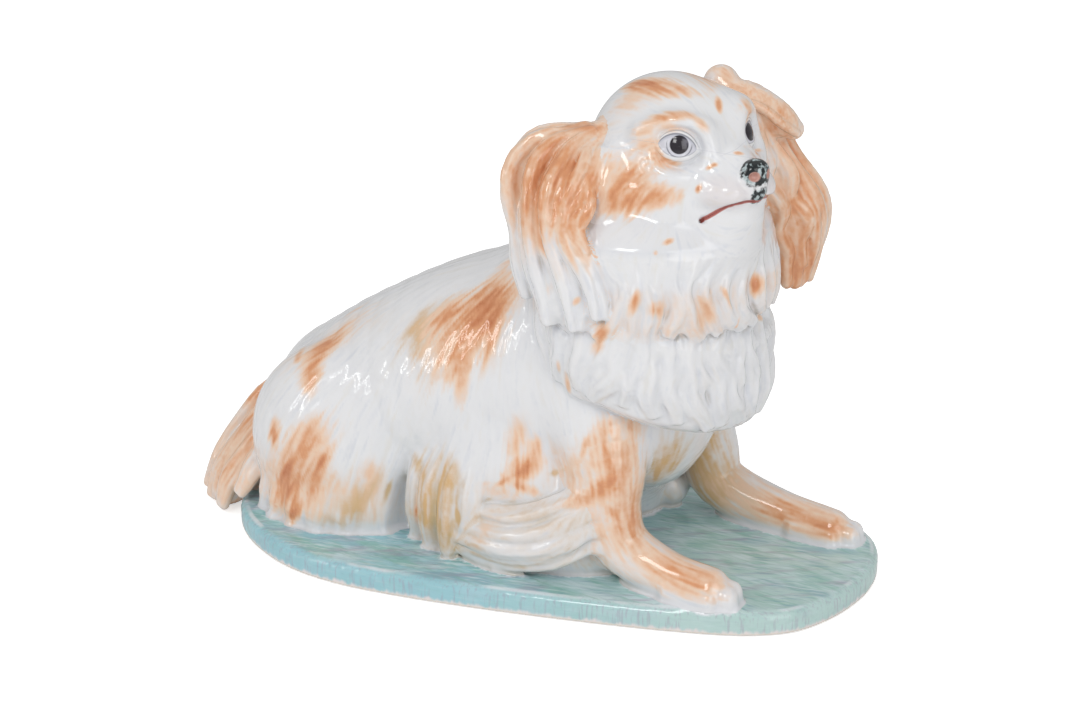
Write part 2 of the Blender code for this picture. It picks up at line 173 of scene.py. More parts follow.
def rollField(grid, part, first, last, reach):
    field = np.full(last - first, far, np.float32)
    for start, end in zip(part["path"], part["path"][1:]):
        wide = max(start[3], end[3]) + reach
        near = cellsNear(grid, np.minimum(start, end)[:3] - wide, np.maximum(start, end)[:3] + wide)
        if near is None:
            continue
        low, high = np.maximum(near[0], first), np.minimum(near[1], last)
        if np.any(low >= high):
            continue
        room = tuple(slice(a, b) for a, b in zip(low - first, high - first))
        field[room] = np.minimum(field[room], segmentField(start, end, *cellAxes(grid, low, high)))
    return field


def clayField(grid, parts, blend):
    field = np.full(grid["size"], far, np.float32)
    for part in parts:
        reach = max(blend, part["blend"]) + 1.5
        near = cellsNear(grid, part["box"][0] - reach, part["box"][1] + reach)
        if near is None:
            continue
        room = tuple(slice(a, b) for a, b in zip(*near))
        if part["kind"] == "lump":
            distance = lumpField(part, *cellAxes(grid, *near))
        elif part["kind"] == "drum":
            distance = drumField(part, *cellAxes(grid, *near))
        else:
            distance = rollField(grid, part, *near, reach)
        if part["dig"]:
            field[room] = -softMin(-field[room], distance, part["blend"])
        else:
            field[room] = softMin(field[room], distance, part["blend"])
    return field


def mirrored(part):
    flip = np.array([1, -1, 1])
    if part["kind"] == "lump":
        axes = part["axes"] * flip[:, None] * flip[None, :]
        return lump(part["place"] * flip, part["radii"], part["blend"], axes, part["dig"])
    knots = part["path"] * np.array([1, -1, 1, 1])
    return roll(knots, part["blend"], part["dig"], 1)


def placed(part, turn, origin):  # moves a part from the head's own frame to the dog's
    if part["kind"] == "lump":
        place = turn @ part["place"] + origin
        return lump(place, part["radii"], part["blend"], turn @ part["axes"], part["dig"])
    knots = part["path"].copy()
    knots[:, :3] = knots[:, :3] @ turn.T + origin
    return roll(knots, part["blend"], part["dig"], 1)


# The lie of the hair, on a coarse grid, for combed relief and brush strokes
flowGrid = makeGrid((-124, -62, -12), (98, 62, 144), 2.5)
flowSum = np.zeros((*flowGrid["size"], 3), np.float32)
flowWeight = np.full(flowGrid["size"], 1e-6, np.float32)
reliefSum = np.zeros(flowGrid["size"], np.float32)


def comb(place, direction, reach, relief, strength=1.0):
    place, direction = np.asarray(place, float), unit(direction)
    near = cellsNear(flowGrid, place - 2.6 * reach, place + 2.6 * reach)
    if near is None:
        return
    room = tuple(slice(a, b) for a, b in zip(*near))
    x, y, z = cellAxes(flowGrid, *near)
    away = (x - place[0]) ** 2 + (y - place[1]) ** 2 + (z - place[2]) ** 2
    weight = strength * np.exp(-away / (reach * reach)).astype(np.float32)
    flowSum[room] += weight[..., None] * direction.astype(np.float32)
    flowWeight[room] += weight
    reliefSum[room] += weight * relief


def combBoth(place, direction, reach, relief, strength=1.0):
    flip = np.array([1, -1, 1])
    comb(place, direction, reach, relief, strength)
    comb(place * flip, direction * flip, reach, relief, strength)


def combRoll(part, relief, strength=3.0):
    path = part["path"]
    for start, end in zip(path, path[1:]):
        comb((start + end)[:3] / 2, end[:3] - start[:3], max(2.2, 1.3 * start[3]), relief, strength)


def bundle(knots, out, count, spread, thick, blend=0.7, wave=0.0, phase=0.0, relief=0.10, narrow=0.15):
    # A lock of hair: strands side by side that part at the root and draw together at the tip
    path = smoothPath(knots, 4)
    place = path[:, :3]
    along = unit(np.gradient(place, axis=0))
    side = unit(np.cross(along, np.asarray(out, float)))
    front = np.cross(side, along)
    t = np.linspace(0, 1, len(path))
    wide = np.interp(t, [0, 0.3, 0.7, 1], [0.7, 1.0, 0.85, narrow])
    strands = []
    for index, across in enumerate(np.linspace(-1, 1, count) if count > 1 else [0.0]):
        drift = dice.uniform(-0.12, 0.12)
        swing = wave * np.sin(2 * math.pi * t * 1.15 + phase + 0.5 * across)
        swing = swing * np.interp(t, [0, 0.2, 0.7, 1], [0, 1, 0.8, 0.4])
        sideways = (across + drift) * spread * wide + swing
        proud = thick * (1 - across**2) * wide + (0.35 if index % 2 else -0.1) * path[:, 3] * wide
        knotsNow = place + side * sideways[:, None] + front * proud[:, None]
        radius = path[:, 3] * dice.uniform(0.88, 1.08)
        strand = roll(np.column_stack([knotsNow, radius]), blend, False, 1)
        combRoll(strand, relief)
        strands.append(strand)
    return strands


# Trunk
trunkShape = {
    "back": [(-69, 0, 25.0, 27.6), (-46, 0, 36.0, 31.0), (-20, 0, 47.0, 33.0), (4, 0, 56.0, 30.5)],
    "breast": ((22, 0, 52), (21, 25, 34)),
    "belly": ((-29, 0, 12), (46, 29.5, 24)),
    "neck": [(4, 0, 62, 26.6), (14, -2, 84, 23.6), (24, -4, 102, 18.6)],
    "shoulder": ((2, -21, 46), (17, 10, 22)),
    "hollow": ((-34, 0, 6), (28, 13, 16)),
    "crease": [(-36, -34, 30, 0.8), (-38.5, -31, 21, 3.0), (-40, -28.5, 12, 4.4), (-40.5, -27, 2, 5.0)],
    "apron": [(28, -3, 44, 12.0), (22, 4, 28, 9.5), (14, 14, 14, 8.5), (10, 20, 2, 8)],
}


def makeTrunk():
    s = trunkShape
    parts = [roll(s["back"], 8), lump(*s["breast"], 9), lump(*s["belly"], 9), roll(s["neck"], 10)]
    shoulder = lump(*s["shoulder"], 8)
    parts += [shoulder, mirrored(shoulder), lump(*s["hollow"], 2, dig=True)]
    crease = roll(s["crease"], 4, dig=True)
    return parts + [roll(s["apron"], 8), crease, mirrored(crease)]


# Haunches
haunchShape = {
    "thigh": ((-66, -17.5, 21), (29.5, 19.0, 29.5)),
    "hock": ((-63, -21, 5), (22.5, 13.8, 13.5)),
    "seat": ((-88, -12, 5), (8, 9, 10)),
    "foot": [(-62, -26, 3.0, 6.0), (-48, -22, 2.6, 5.4), (-36, -20, 2.2, 4.6)],
    "hem": [  # tufts along the lower edge: place, direction and length
        ((-85, -18, 12), (-0.5, -0.25, -1.0), 9),
        ((-83, -25, 11), (-0.4, -0.35, -1.0), 10),
        ((-77.5, -29.5, 10.5), (-0.3, -0.3, -1.0), 10),
        ((-71, -32.5, 10), (-0.2, -0.25, -1.0), 9),
        ((-64, -33.5, 10), (-0.15, -0.15, -1.0), 9.5),
        ((-57, -32, 11), (-0.1, -0.05, -1.0), 9.5),
        ((-50, -28, 12), (-0.05, 0.1, -1.0), 10),
        ((-44, -25.5, 12), (0.0, 0.1, -1.0), 10),
    ],
}


def makeHaunch():
    s = haunchShape
    parts = [lump(*s["thigh"], 6), lump(*s["hock"], 6), lump(*s["seat"], 5), roll(s["foot"], 3)]
    for place, direction, length in s["hem"]:
        place, direction = np.array(place, float), unit(direction)
        tip = place + direction * length
        middle = (place + tip) / 2 + np.array([0, -0.6, 0])
        knots = [(*(place - direction * 4 + (0, 2, 0)), 2.0), (*middle, 2.0), (*tip, 1.1)]
        parts += bundle(knots, (0.2, -1, 0.2), 3, 2.6, 0.1, 3.0, narrow=0.6)
    parts.append(roll(trunkShape["crease"], 3, dig=True))
    return parts


# Forelegs
legShape = {
    "right": [(12, -18, 52, 15.5), (19, -24, 34, 11.8), (21.5, -26.5, 21, 9.0), (26, -27, 10.5, 7.8),
              (39, -28, 5.0, 6.6), (52, -28.6, 3.6, 5.8)],
    "rightToes": [(53, -24.8, 2.6, 3.3), (57.5, -27.2, 2.8, 3.4), (57.5, -30.4, 2.7, 3.3),
                  (53, -33.0, 2.4, 3.1)],
    "left": [(14, 18, 52, 14.5), (26, 23, 34, 10.3), (31, 25, 21, 8.6), (35, 25, 10, 7.8),
             (53, 23.5, 4.6, 6.6), (70, 22.2, 3.0, 5.6)],
    "leftToes": [(71, 25.8, 2.2, 3.0), (75.8, 23.6, 2.4, 3.2), (75.8, 20.6, 2.4, 3.1), (71, 18.2, 2.2, 3.0)],
    "toeBack": 11.0,
}


def makeLeg(side):
    s = legShape
    parts = [roll(s[side], 5, steps=5)]
    combRoll(parts[0], 0.05, 1.5)
    for x, y, z, radius in s[side + "Toes"]:
        knots = [(x - s["toeBack"], y * 0.93 + 0.07 * s[side][-1][1], z + 0.9, radius), (x, y, z, radius)]
        parts.append(roll(knots, 1.0))
    return parts


# Belly hair, between elbow and haunch
hairShape = {
    "elbow": [(16, -26.0, 22, 9.8), (4, -27.5, 12, 9.6), (-9, -28.5, 7, 7.6), (-19, -28.5, 4, 4.8)],
    "flank": [(-18, -21.5, 38, 9.4), (-24, -24.5, 20, 10.0), (-27, -25.5, 5, 8.0)],
    "side": ((-8, -20.5, 26), (21.5, 14.7, 21.5)),
    "under": [(20, -24, 6, 5.5), (8, -26.5, 4, 6.5), (-8, -28, 3, 5.6)],
    "combed": [  # ridges that sweep back from the elbow, top to bottom
        [(18, -34.5, 27, 1.2), (8, -36.0, 20.5, 2.0), (-4, -36.0, 17, 1.9), (-15, -34.5, 15.5, 1.2)],
        [(19, -35.5, 23, 1.3), (9, -37.6, 16, 2.2), (-4, -37.6, 12.5, 2.1), (-18, -35.5, 11.0, 1.2)],
        [(20, -35.5, 18, 1.3), (10, -38.0, 11.5, 2.2), (-5, -37.8, 8.4, 2.1), (-20, -35.5, 7.2, 1.2)],
        [(20, -33.5, 13, 1.3), (9, -36.6, 7.0, 2.2), (-6, -36.4, 4.6, 2.0), (-22, -34.0, 3.6, 1.2)],
    ],
    "falling": [  # short locks that hang beside the crease of the haunch
        [(-19, -30, 34, 1.4), (-22.5, -33.5, 22, 2.2), (-23.5, -35, 11, 2.1), (-23.5, -35.5, 2.5, 1.3)],
        [(-25, -28, 32, 1.4), (-29, -32, 21, 2.1), (-30.5, -32.5, 10, 2.0), (-30.5, -31.5, 2, 1.3)],
        [(-30, -27, 30, 1.4), (-34.5, -29.5, 20, 1.9), (-36.5, -29, 10, 1.8), (-37, -27.5, 2, 1.2)],
        [(-14, -31, 31, 1.4), (-16.5, -34.5, 22, 2.0), (-17.5, -35.5, 13, 1.8), (-18, -35.5, 7, 1.1)],
    ],
}


def makeBellyHair():
    s = hairShape
    parts = [roll(s["elbow"], 5), roll(s["flank"], 5), lump(*s["side"], 6), roll(s["under"], 3)]
    for knots in s["combed"]:
        parts += bundle(knots, (0, -1, 0.3), 3, 2.0, 0.3, 0.8, 0.6, relief=0.22, narrow=0.4)
    for knots in s["falling"]:
        parts += bundle(knots, (0, -1, 0.1), 3, 2.4, 0.3, 1.3, 0.4, relief=0.2, narrow=0.5)
    return parts


# Head, in its own frame: x towards the nose, y to the dog's left
headPlace = np.array([28.0, -4.0, 114.2])
headYaw = math.radians(-26)
headTurn = np.array([[math.cos(headYaw), -math.sin(headYaw), 0],
                     [math.sin(headYaw), math.cos(headYaw), 0], [0, 0, 1]])
eyeLook = unit((0.66, -0.70, 0.27))  # the way the right eye looks out
eyeAcross = unit(np.cross((0, 0, 1), eyeLook) + np.array([0, 0, -0.12]))
eyeUp = unit(np.cross(eyeLook, eyeAcross))
farLook = unit((0.85, 0.46, 0.26))  # the far eye looks out more to the front
farAcross = unit(np.cross((0, 0, 1), farLook) + np.array([0, 0, 0.12]))
farUp = unit(np.cross(farLook, farAcross))
headShape = {
    "skull": ((0, 0, 0.6), (21.6, 21.2, 21.8)),
    "forehead": ((8.5, 0, 6), (13, 15.3, 12)),
    "throat": [(68, 0), (74, 24), (80, 31), (86, 33.6), (93, 34), (98, 32.4), (102, 29), (106, 23), (110, 14),
               (113, 0)],
    "jowl": ((18, -23.0, 103), (10, 9.5, 17)),
    "cheek": ((7.5, -9.8, -8.0), (13.5, 10.6, 11.5)),
    "cheekbone": ((13.0, -13.2, 1.5), (6.0, 4.6, 4.0)),
    "muzzle": ((17.6, 0, -4.2), (14.6, 10.2, 9.2)),
    "lip": ((24.4, -4.8, -2.6), (8.6, 6.0, 4.8)),
    "bridge": ((20.0, 0, 2.2), (12, 5.0, 5.0)),
    "chin": ((22.0, 0, -9.6), (10.6, 8.4, 5.8)),
    "nosePad": ((32.2, 0, 2.3), (3.1, 4.2, 3.9)),
    "philtrum": ((32.2, 0, -2.0), (2.7, 3.0, 3.2)),
    "nostril": ((34.6, -2.5, 2.3), (1.4, 1.1, 1.0)),
    "underChin": ((20.0, 0, -16.0), (11.0, 10.5, 9.5)),
    "farTemple": ((10.5, 8.0, 6.0), (11.8, 9.0, 11.5)),
    "farCheek": ((13.0, 8.0, -4.0), (11.0, 9.0, 9.0)),
    "brow": [(20.0, -3.6, 9.5, 1.2), (18.4, -7.4, 12.8, 1.8), (13.8, -12.4, 13.9, 1.9),
             (7.6, -16.8, 11.0, 1.4)],
    "browInner": [(18.6, -5.6, 11.6, 0.8), (21.3, -5.8, 7.2, 1.1), (22.6, -6.6, 3.4, 0.8)],
    "socket": ((18.0, -13.6, 7.8), (5.4, 6.4, 5.0)),
    "eyeball": ((14.4, -10.4, 7.4), (5.6, 5.6, 5.6)),
    "farSocket": ((21.5, 11.5, 9.2), (4.6, 5.4, 4.6)),
    "farEyeball": ((15.8, 7.6, 7.6), (5.4, 5.4, 5.4)),
    "mouth": [(22.1, -9.9, -11.1, 0.45), (25.0, -9.9, -9.2, 0.7), (28.2, -9.0, -7.3, 0.75),
              (31.4, -6.4, -5.4, 0.75), (33.4, -2.4, -4.7, 0.75), (33.8, 0, -4.8, 0.75)],
}


def eyelid(eye, axes, height, lift):  # from one corner over the eye to the other
    centre, radius = np.array(eye[0]), eye[1][0]
    look, across, up = axes
    knots = []
    for u in np.linspace(-1, 1, 9):
        v = height * (1 - u * u) ** 0.7 + 0.25 * (1 - abs(u))
        flat = across * (u * 5.2) + up * (v - 0.2)
        deep = math.sqrt(max((radius + lift) ** 2 - float(flat @ flat), 2.0))
        knots.append((*(centre + flat + look * deep), 0.5 + 0.2 * (1 - u * u)))
    return roll(knots, 0.9)


def makeHead():
    s = headShape
    near, off = (eyeLook, eyeAcross, eyeUp), (farLook, farAcross, farUp)
    parts = [lump(*s["skull"], 6), lump(*s["forehead"], 6), lump(*s["farTemple"], 6), lump(*s["farCheek"], 6)]
    parts += [lump(*s["muzzle"], 6), lump(*s["bridge"], 5)]
    pairs = [lump(*s["cheek"], 6), lump(*s["cheekbone"], 4), lump(*s["lip"], 3)]
    pairs += [roll(s["brow"], 4.5), roll(s["browInner"], 3.5)]
    for part in pairs:
        parts += [part, mirrored(part)]
    for socket, eye, axes in (("socket", "eyeball", near), ("farSocket", "farEyeball", off)):
        parts += [lump(*s[socket], 3, dig=True), lump(*s[eye], 0.8)]
        parts += [eyelid(s[eye], axes, 3.4, 0.1), eyelid(s[eye], axes, -3.0, -0.1)]
    parts += [lump(*s["chin"], 2.5), lump(*s["underChin"], 5)]
    mouth = roll(s["mouth"], 0.9, dig=True)
    parts += [mouth, mirrored(mouth)]
    parts += [lump(*s["philtrum"], 1.6), lump(*s["nosePad"], 1.8)]
    nostril = lump(*s["nostril"], 0.7, dig=True)
    parts += [nostril, mirrored(nostril)]
    parts = [placed(part, headTurn, headPlace) for part in parts]
    throat = drum(ruffShape["axis"], s["throat"], 6, ruffShape["back"])
    return [parts[0], throat, lump(*s["jowl"], 5), *parts[1:]]


# Ears
earShape = {
    "right": [  # routes of the locks, rear to front, with the strands' radius
        [(10, -18, 122.0, 1.5), (1.2, -23, 119.0, 2.1), (-4.4, -27, 113.0, 2.2), (-5.6, -29.5, 105, 2.2),
         (-3.6, -31.0, 97, 2.1), (-1.8, -32, 89.5, 1.9), (1.4, -33, 81.5, 1.5)],
        [(11.7, -19, 122.4, 1.5), (5.2, -24.5, 118.5, 2.1), (1.4, -29.5, 113, 2.2), (0.8, -32.5, 105.5, 2.2),
         (1.8, -34.5, 98.5, 2.1), (4.8, -36, 91.5, 2.0), (8.2, -37, 84.5, 1.9), (9.6, -37.5, 76.5, 1.5)],
        [(13.2, -20, 121.5, 1.5), (9.6, -26.5, 118, 2.1), (7.0, -32, 112.5, 2.2), (7.0, -35.5, 105.5, 2.2),
         (10.0, -37.2, 98.5, 2.1), (13.8, -38.2, 92.5, 2.0), (16.2, -39, 85.5, 1.9), (17.4, -39.5, 76.5, 1.5)],
        [(14.0, -20, 119.5, 1.5), (13.6, -26.5, 116, 1.9), (12.6, -31.5, 110.5, 2.0), (12.6, -35, 104.5, 2.0),
         (15.6, -37.2, 99, 1.9), (19.6, -38.2, 93.6, 1.8), (21.8, -39, 87.8, 1.7), (23.4, -39.5, 80.5, 1.4)],
    ],
    "rightCurls": [
        [(16.0, -31, 113, 0.9), (18.2, -35.0, 107.5, 1.4), (16.2, -37.6, 102, 1.5), (19.5, -38.6, 96.5, 0.9)],
        [(12.0, -33, 110, 0.9), (13.8, -37.0, 105, 1.3), (11.6, -38.6, 100, 1.4), (15.0, -39.6, 94.5, 0.9)],
    ],
    "rightRoot": [(14, -16, 119.5, 5.6), (6.5, -21.5, 116, 6.2), (3.0, -26.0, 109, 6.0), (5, -29.5, 98, 5.4),
                  (10, -33.4, 87, 6.0), (12.5, -35.2, 80, 5.2)],
    "rightLining": [  # fills the gaps behind the lower locks
        [(-2, -28.5, 101, 3.8), (2, -31, 91, 4.0), (6, -33, 83, 3.6)],
        [(13, -33, 99, 4.2), (17.5, -35.2, 91, 4.0), (19.5, -36.2, 84, 3.4)],
    ],
    "left": [
        [(39, 12.5, 128.0, 1.5), (44.0, 15.0, 119, 2.1), (46.6, 18.0, 108.5, 2.2), (49.0, 21.0, 97, 2.2),
         (50.4, 24.0, 85, 2.1), (51.2, 26, 74, 1.8)],
        [(41, 14.5, 128.6, 1.5), (45.6, 17.5, 118.5, 2.1), (49.2, 21.5, 108, 2.2), (52.0, 25, 96, 2.2),
         (53.4, 28, 84.5, 2.1), (53.0, 28.5, 73, 1.8)],
        [(43, 16.5, 128.4, 1.5), (47.0, 19.5, 118.5, 2.1), (50.8, 24.5, 108.0, 2.2), (55.4, 29, 97.5, 2.2),
         (56.8, 31, 87, 2.1), (55.0, 31.5, 74, 1.8)],
        [(44, 18.5, 127.0, 1.5), (47.8, 21.5, 117.5, 2.0), (51.4, 26.0, 108, 2.1), (56.4, 31.5, 98, 2.1),
         (57.8, 34, 89, 1.9), (55.8, 33.5, 77, 1.6)],
    ],
    "leftRear": [(28, 18, 125, 1.6), (34, 24.5, 118, 2.3), (40.5, 29, 107, 2.4), (45, 31.8, 94, 2.3),
                 (47.5, 32.5, 83, 2.1), (48.5, 32, 73.5, 1.4)],
    "leftCurls": [
        [(44.5, 11.5, 119, 0.9), (48.8, 15.0, 111, 1.5), (47.4, 16.0, 104, 1.4), (52.0, 18.6, 97, 1.6),
         (50.4, 20.2, 90, 1.4), (53.4, 22.4, 83, 1.3), (52.2, 24.6, 76, 0.8)],
        [(49.5, 17.0, 114, 0.9), (53.6, 20.0, 106, 1.4), (52.8, 21.4, 99, 1.4), (57.2, 24.4, 93, 1.5),
         (55.2, 25.6, 86, 1.3), (56.6, 27.6, 79, 0.8)],
    ],
    "leftRoot": [(31, 12, 125, 6.2), (39, 16, 120, 6.4), (44, 20.5, 111, 6.6), (49, 25.2, 99, 7.0),
                 (51.5, 28, 88, 6.2), (51.8, 28.8, 79, 4.0)],
    "leftNub": ((35.5, 13.5, 131.0), (4.8, 4.8, 4.8)),
    "leftFold": [(42.5, 8.0, 128.6, 0.8), (48.4, 10.0, 126.0, 1.2), (53.2, 13.0, 121.6, 1.2),
                 (56.0, 17.5, 118.2, 1.0)],
    "leftFlap": [(38.5, 12.5, 129.0, 4.2), (45.0, 14.5, 126.0, 4.8), (50.4, 17.0, 122.4, 4.4),
                 (53.8, 20.5, 118.6, 3.0)],
    "strands": 3,
    "spread": 2.4,
    "thick": 1.7,
    "wave": 2.0,
}


def makeEar(side, out):
    s = earShape
    parts = [roll(s[side + "Root"], 4)]
    for index, knots in enumerate(s[side]):
        phase = 1.1 * index
        parts += bundle(knots, out, s["strands"], s["spread"], s["thick"], 0.8, s["wave"], phase, 0.26, 0.7)
    return parts


def makeRightEar():
    parts = makeEar("right", (-0.25, -1, 0.25)) + [roll(knots, 3) for knots in earShape["rightLining"]]
    for knots in earShape["rightCurls"]:
        parts += bundle(knots, (0, -1, 0.1), 2, 1.1, 0.2, 0.6)
    return parts


def makeLeftEar():
    s = earShape
    parts = makeEar("left", (0.75, 0.65, 0.3))
    parts += bundle(s["leftRear"], (0.4, 0.9, 0.2), 4, 3.2, 1.0, 0.8, 1.6, 0.0, 0.26, 0.7)
    for knots in s["leftCurls"]:
        parts += bundle(knots, (0.42, -0.9, 0.15), 3, 1.5, 0.3, 0.6)
    parts += [roll(s["leftFlap"], 2), roll(s["leftFold"], 1.2), lump(*s["leftNub"], 1.5)]
    return parts


# Ruff: three tiers round the neck
ruffShape = {
    "axis": (22.0, -4.0),
    "turn": math.radians(-8),
    "reach": math.radians(125),
    "back": 0.2,
    "upper": {"locks": 27, "uneven": 1.3, "tilt": 0.0,
              "stops": [(92, 32.6), (86, 33.8), (80, 34.2), (75.5, 34.0)],
              "body": [(66, 0), (72, 24), (75, 31.5), (77, 33.4), (80, 34.0), (86, 33.6), (92, 32.8),
                       (95.5, 31.8), (98, 27), (102, 0)],
              "strand": 1.4, "spread": 1.8, "curl": 0.08, "blend": 0.9, "narrow": 0.75, "wave": 1.0},
    "middle": {"locks": 25, "uneven": 1.6, "tilt": 0.27,
               "stops": [(82, 31.5), (75, 32.8), (70, 33.4), (65, 33.0)],
               "body": [(54, 0), (59, 24), (62.5, 31.4), (65.5, 33.0), (72, 33.4), (80, 31.8), (88, 0)],
               "strand": 1.3, "spread": 2.1, "curl": 0.09, "blend": 1.1, "narrow": 0.75, "wave": 0.9},
    "lower": {"locks": 23, "uneven": 1.8, "tilt": 0.33,
              "stops": [(75, 31.5), (68.5, 33.2), (63, 33.6), (57.5, 32.8)],
              "body": [(44, 0), (50.5, 24), (54, 31.0), (58, 33.2), (66, 33.6), (74, 31.5), (82, 0)],
              "strand": 1.5, "spread": 2.2, "curl": 0.07, "blend": 1.1, "narrow": 0.6, "wave": 0.9},
}


def makeRuff(tier):
    s, t = ruffShape, ruffShape[tier]
    parts = [drum(s["axis"], t["body"], 3, s["back"], t["tilt"])]
    if tier == "upper":
        parts.append(drum(s["axis"], headShape["throat"], 3, s["back"]))
    for index in range(t["locks"]):
        angle = s["turn"] + s["reach"] * (2 * index / (t["locks"] - 1) - 1) + dice.uniform(-0.03, 0.03)
        curl = t["curl"] * (math.sin(3.1 * angle) + dice.uniform(-0.8, 0.8))
        longer = t["uneven"] * dice.uniform(-1, 1)
        knots = []
        for step, (z, away) in enumerate(t["stops"]):
            share = step / 3
            lean = angle + curl * math.sin(4.2 * share)
            inward = 1 - s["back"] * max(-math.cos(lean), 0) ** 2
            x = s["axis"][0] + away * inward * math.cos(lean)
            y = s["axis"][1] + away * inward * math.sin(lean)
            z = z - float(hangOf(t["tilt"], x - s["axis"][0])) - longer * share
            knots.append((x, y, z, t["strand"] * (0.8, 1.1, 1.05, 0.6)[step]))
        out = (math.cos(angle), math.sin(angle), 0.15)
        phase = dice.uniform(0, 6.28)
        parts += bundle(knots, out, 3, t["spread"], 0.5, t["blend"], t["wave"], phase, 0.26, t["narrow"])
    return parts


# Tail
tailShape = {
    "locks": [
        [(-86, 0, 32, 2.0), (-99.5, -1.5, 25.0, 2.4), (-107.2, -6.5, 16.0, 2.5), (-112.0, -12, 7.0, 2.3),
         (-114.8, -16, -2.5, 1.6)],
        [(-86, -6, 29, 2.0), (-97.0, -9, 22.0, 2.5), (-104.0, -14, 12.5, 2.5), (-108.6, -18, 3.8, 2.3),
         (-111.0, -20, -3.5, 1.6)],
        [(-85, -11, 26, 2.0), (-94.5, -15, 18.5, 2.4), (-99.5, -20, 10.0, 2.4), (-103.5, -23, 2.5, 2.1),
         (-106, -23.5, -4, 1.5)],
        [(-84, -14, 22, 1.8), (-91.0, -20, 14.5, 2.2), (-94.5, -24.5, 8.0, 2.1), (-97.5, -26.5, 2.8, 1.4)],
    ],
    "core": [(-84, -8, 23, 9.0), (-95, -10, 15, 9.2), (-102.5, -14.5, 6, 8.4), (-106.5, -18, -0.5, 6.0),
             (-108.5, -19, -3, 3.4)],
}


def makeTail():
    s = tailShape
    parts = [roll(s["core"], 3)]
    for index, knots in enumerate(s["locks"]):
        parts += bundle(knots, (-0.5, -0.7, 0.5), 3, 2.6, 0.8, 1.0, 1.0, 1.3 * index, relief=0.15, narrow=0.6)
    return parts


# Slab
slabShape = {
    "outline": [
        (-101, -24), (-86, -41), (-60, -53), (-20, -51), (37, -41), (71, -31), (83, -14),
        (88, 12), (80, 34), (50, 46), (0, 51), (-60, 49), (-94, 30), (-105, 2),
    ],
    "edge": 2.6,
    "vent": ((-34, 0), 5.0),
    "ripple": 0.35,
}


def roundedOutline(points, steps):
    points = np.array(points, float)
    for _ in range(steps):
        ahead = np.roll(points, -1, axis=0)
        points = np.stack([0.75 * points + 0.25 * ahead, 0.25 * points + 0.75 * ahead], axis=1).reshape(-1, 2)
    return points


def outlineDistance(points):  # in plan, negative inside
    x, y = points[:, 0], points[:, 1]
    corners = roundedOutline(slabShape["outline"], 3)
    nearest = np.full(len(points), 1e9)
    inside = np.zeros(len(points), bool)
    for a, b in zip(corners, np.roll(corners, -1, axis=0)):
        run = b - a
        share = np.clip(((x - a[0]) * run[0] + (y - a[1]) * run[1]) / (run @ run), 0, 1)
        nearest = np.minimum(nearest, (x - a[0] - share * run[0]) ** 2 + (y - a[1] - share * run[1]) ** 2)
        crosses = ((a[1] > y) != (b[1] > y)) & (x < run[0] * (y - a[1]) / (run[1] + 1e-12) + a[0])
        inside ^= crosses
    return np.where(inside, -np.sqrt(nearest), np.sqrt(nearest)).astype(np.float32)


def slabField(grid):
    x, y, z = cellAxes(grid, np.zeros(3, int), grid["size"])
    flat = np.broadcast_arrays(x[:, :, 0], y[:, :, 0])
    plan = outlineDistance(np.column_stack([axis.ravel() for axis in flat])).reshape(flat[0].shape)
    plan = plan[:, :, None] + np.float32(0.25)
    edge = np.float32(slabShape["edge"])
    up = np.maximum(z + edge, 0)  # rounded above, square below
    sideways = np.maximum(plan + edge, 0)
    top = np.sqrt(up**2 + sideways**2) + np.minimum(np.maximum(plan + edge, z + edge), 0) - edge
    bottom = -(z + np.float32(slabTop))
    place, radius = slabShape["vent"]
    vent = np.sqrt((x - place[0]) ** 2 + (y - place[1]) ** 2) - np.float32(radius)
    field = np.maximum(np.maximum(top, bottom), -vent)
    return np.clip(field, -far, far).astype(np.float32)


# The pieces in the order that they are put on: blend with what is there, grain, own seam depth
makers = {
    "base_slab": (None, 0.0, 0.55),
    "trunk_shell": (makeTrunk, 1.0, 0.65),
    "haunch_right": (makeHaunch, 4.0, 0.6),
    "haunch_left": (makeHaunch, 4.0, 0.6),
    "belly_hair_right": (makeBellyHair, 3.0, 0.5),
    "belly_hair_left": (makeBellyHair, 3.0, 0.5),
    "foreleg_right": (lambda: makeLeg("right"), 3.5, 0.5),
    "foreleg_left": (lambda: makeLeg("left"), 3.5, 0.5),
    "head_shell": (makeHead, 4.0, 0.4),
    "ruff_lower": (lambda: makeRuff("lower"), 1.5, 0.5),
    "ruff_middle": (lambda: makeRuff("middle"), 1.2, 0.5),
    "ruff_upper": (lambda: makeRuff("upper"), 1.2, 0.5),
    "ear_right": (makeRightEar, 1.2, 0.45),
    "ear_left": (makeLeftEar, 1.2, 0.45),
    "tail": (makeTail, 1.5, 0.5),
}
overlap = 1.5  # how far a piece runs on under its neighbours
sink = 0.03  # how much deeper the skin lies there


def pieceParts():
    made = {}
    for name, (maker, _, _) in makers.items():
        if maker is None:
            made[name] = []
        elif name in ("haunch_left", "belly_hair_left"):
            made[name] = [mirrored(part) for part in made[name.replace("left", "right")]]
            for part in made[name]:
                if part["kind"] == "roll" and part["path"][0][3] < 3:
                    combRoll(part, 0.10)
        else:
            made[name] = maker()
    return made


pieces = pieceParts()
print("clay parts:", sum(len(parts) for parts in pieces.values()))

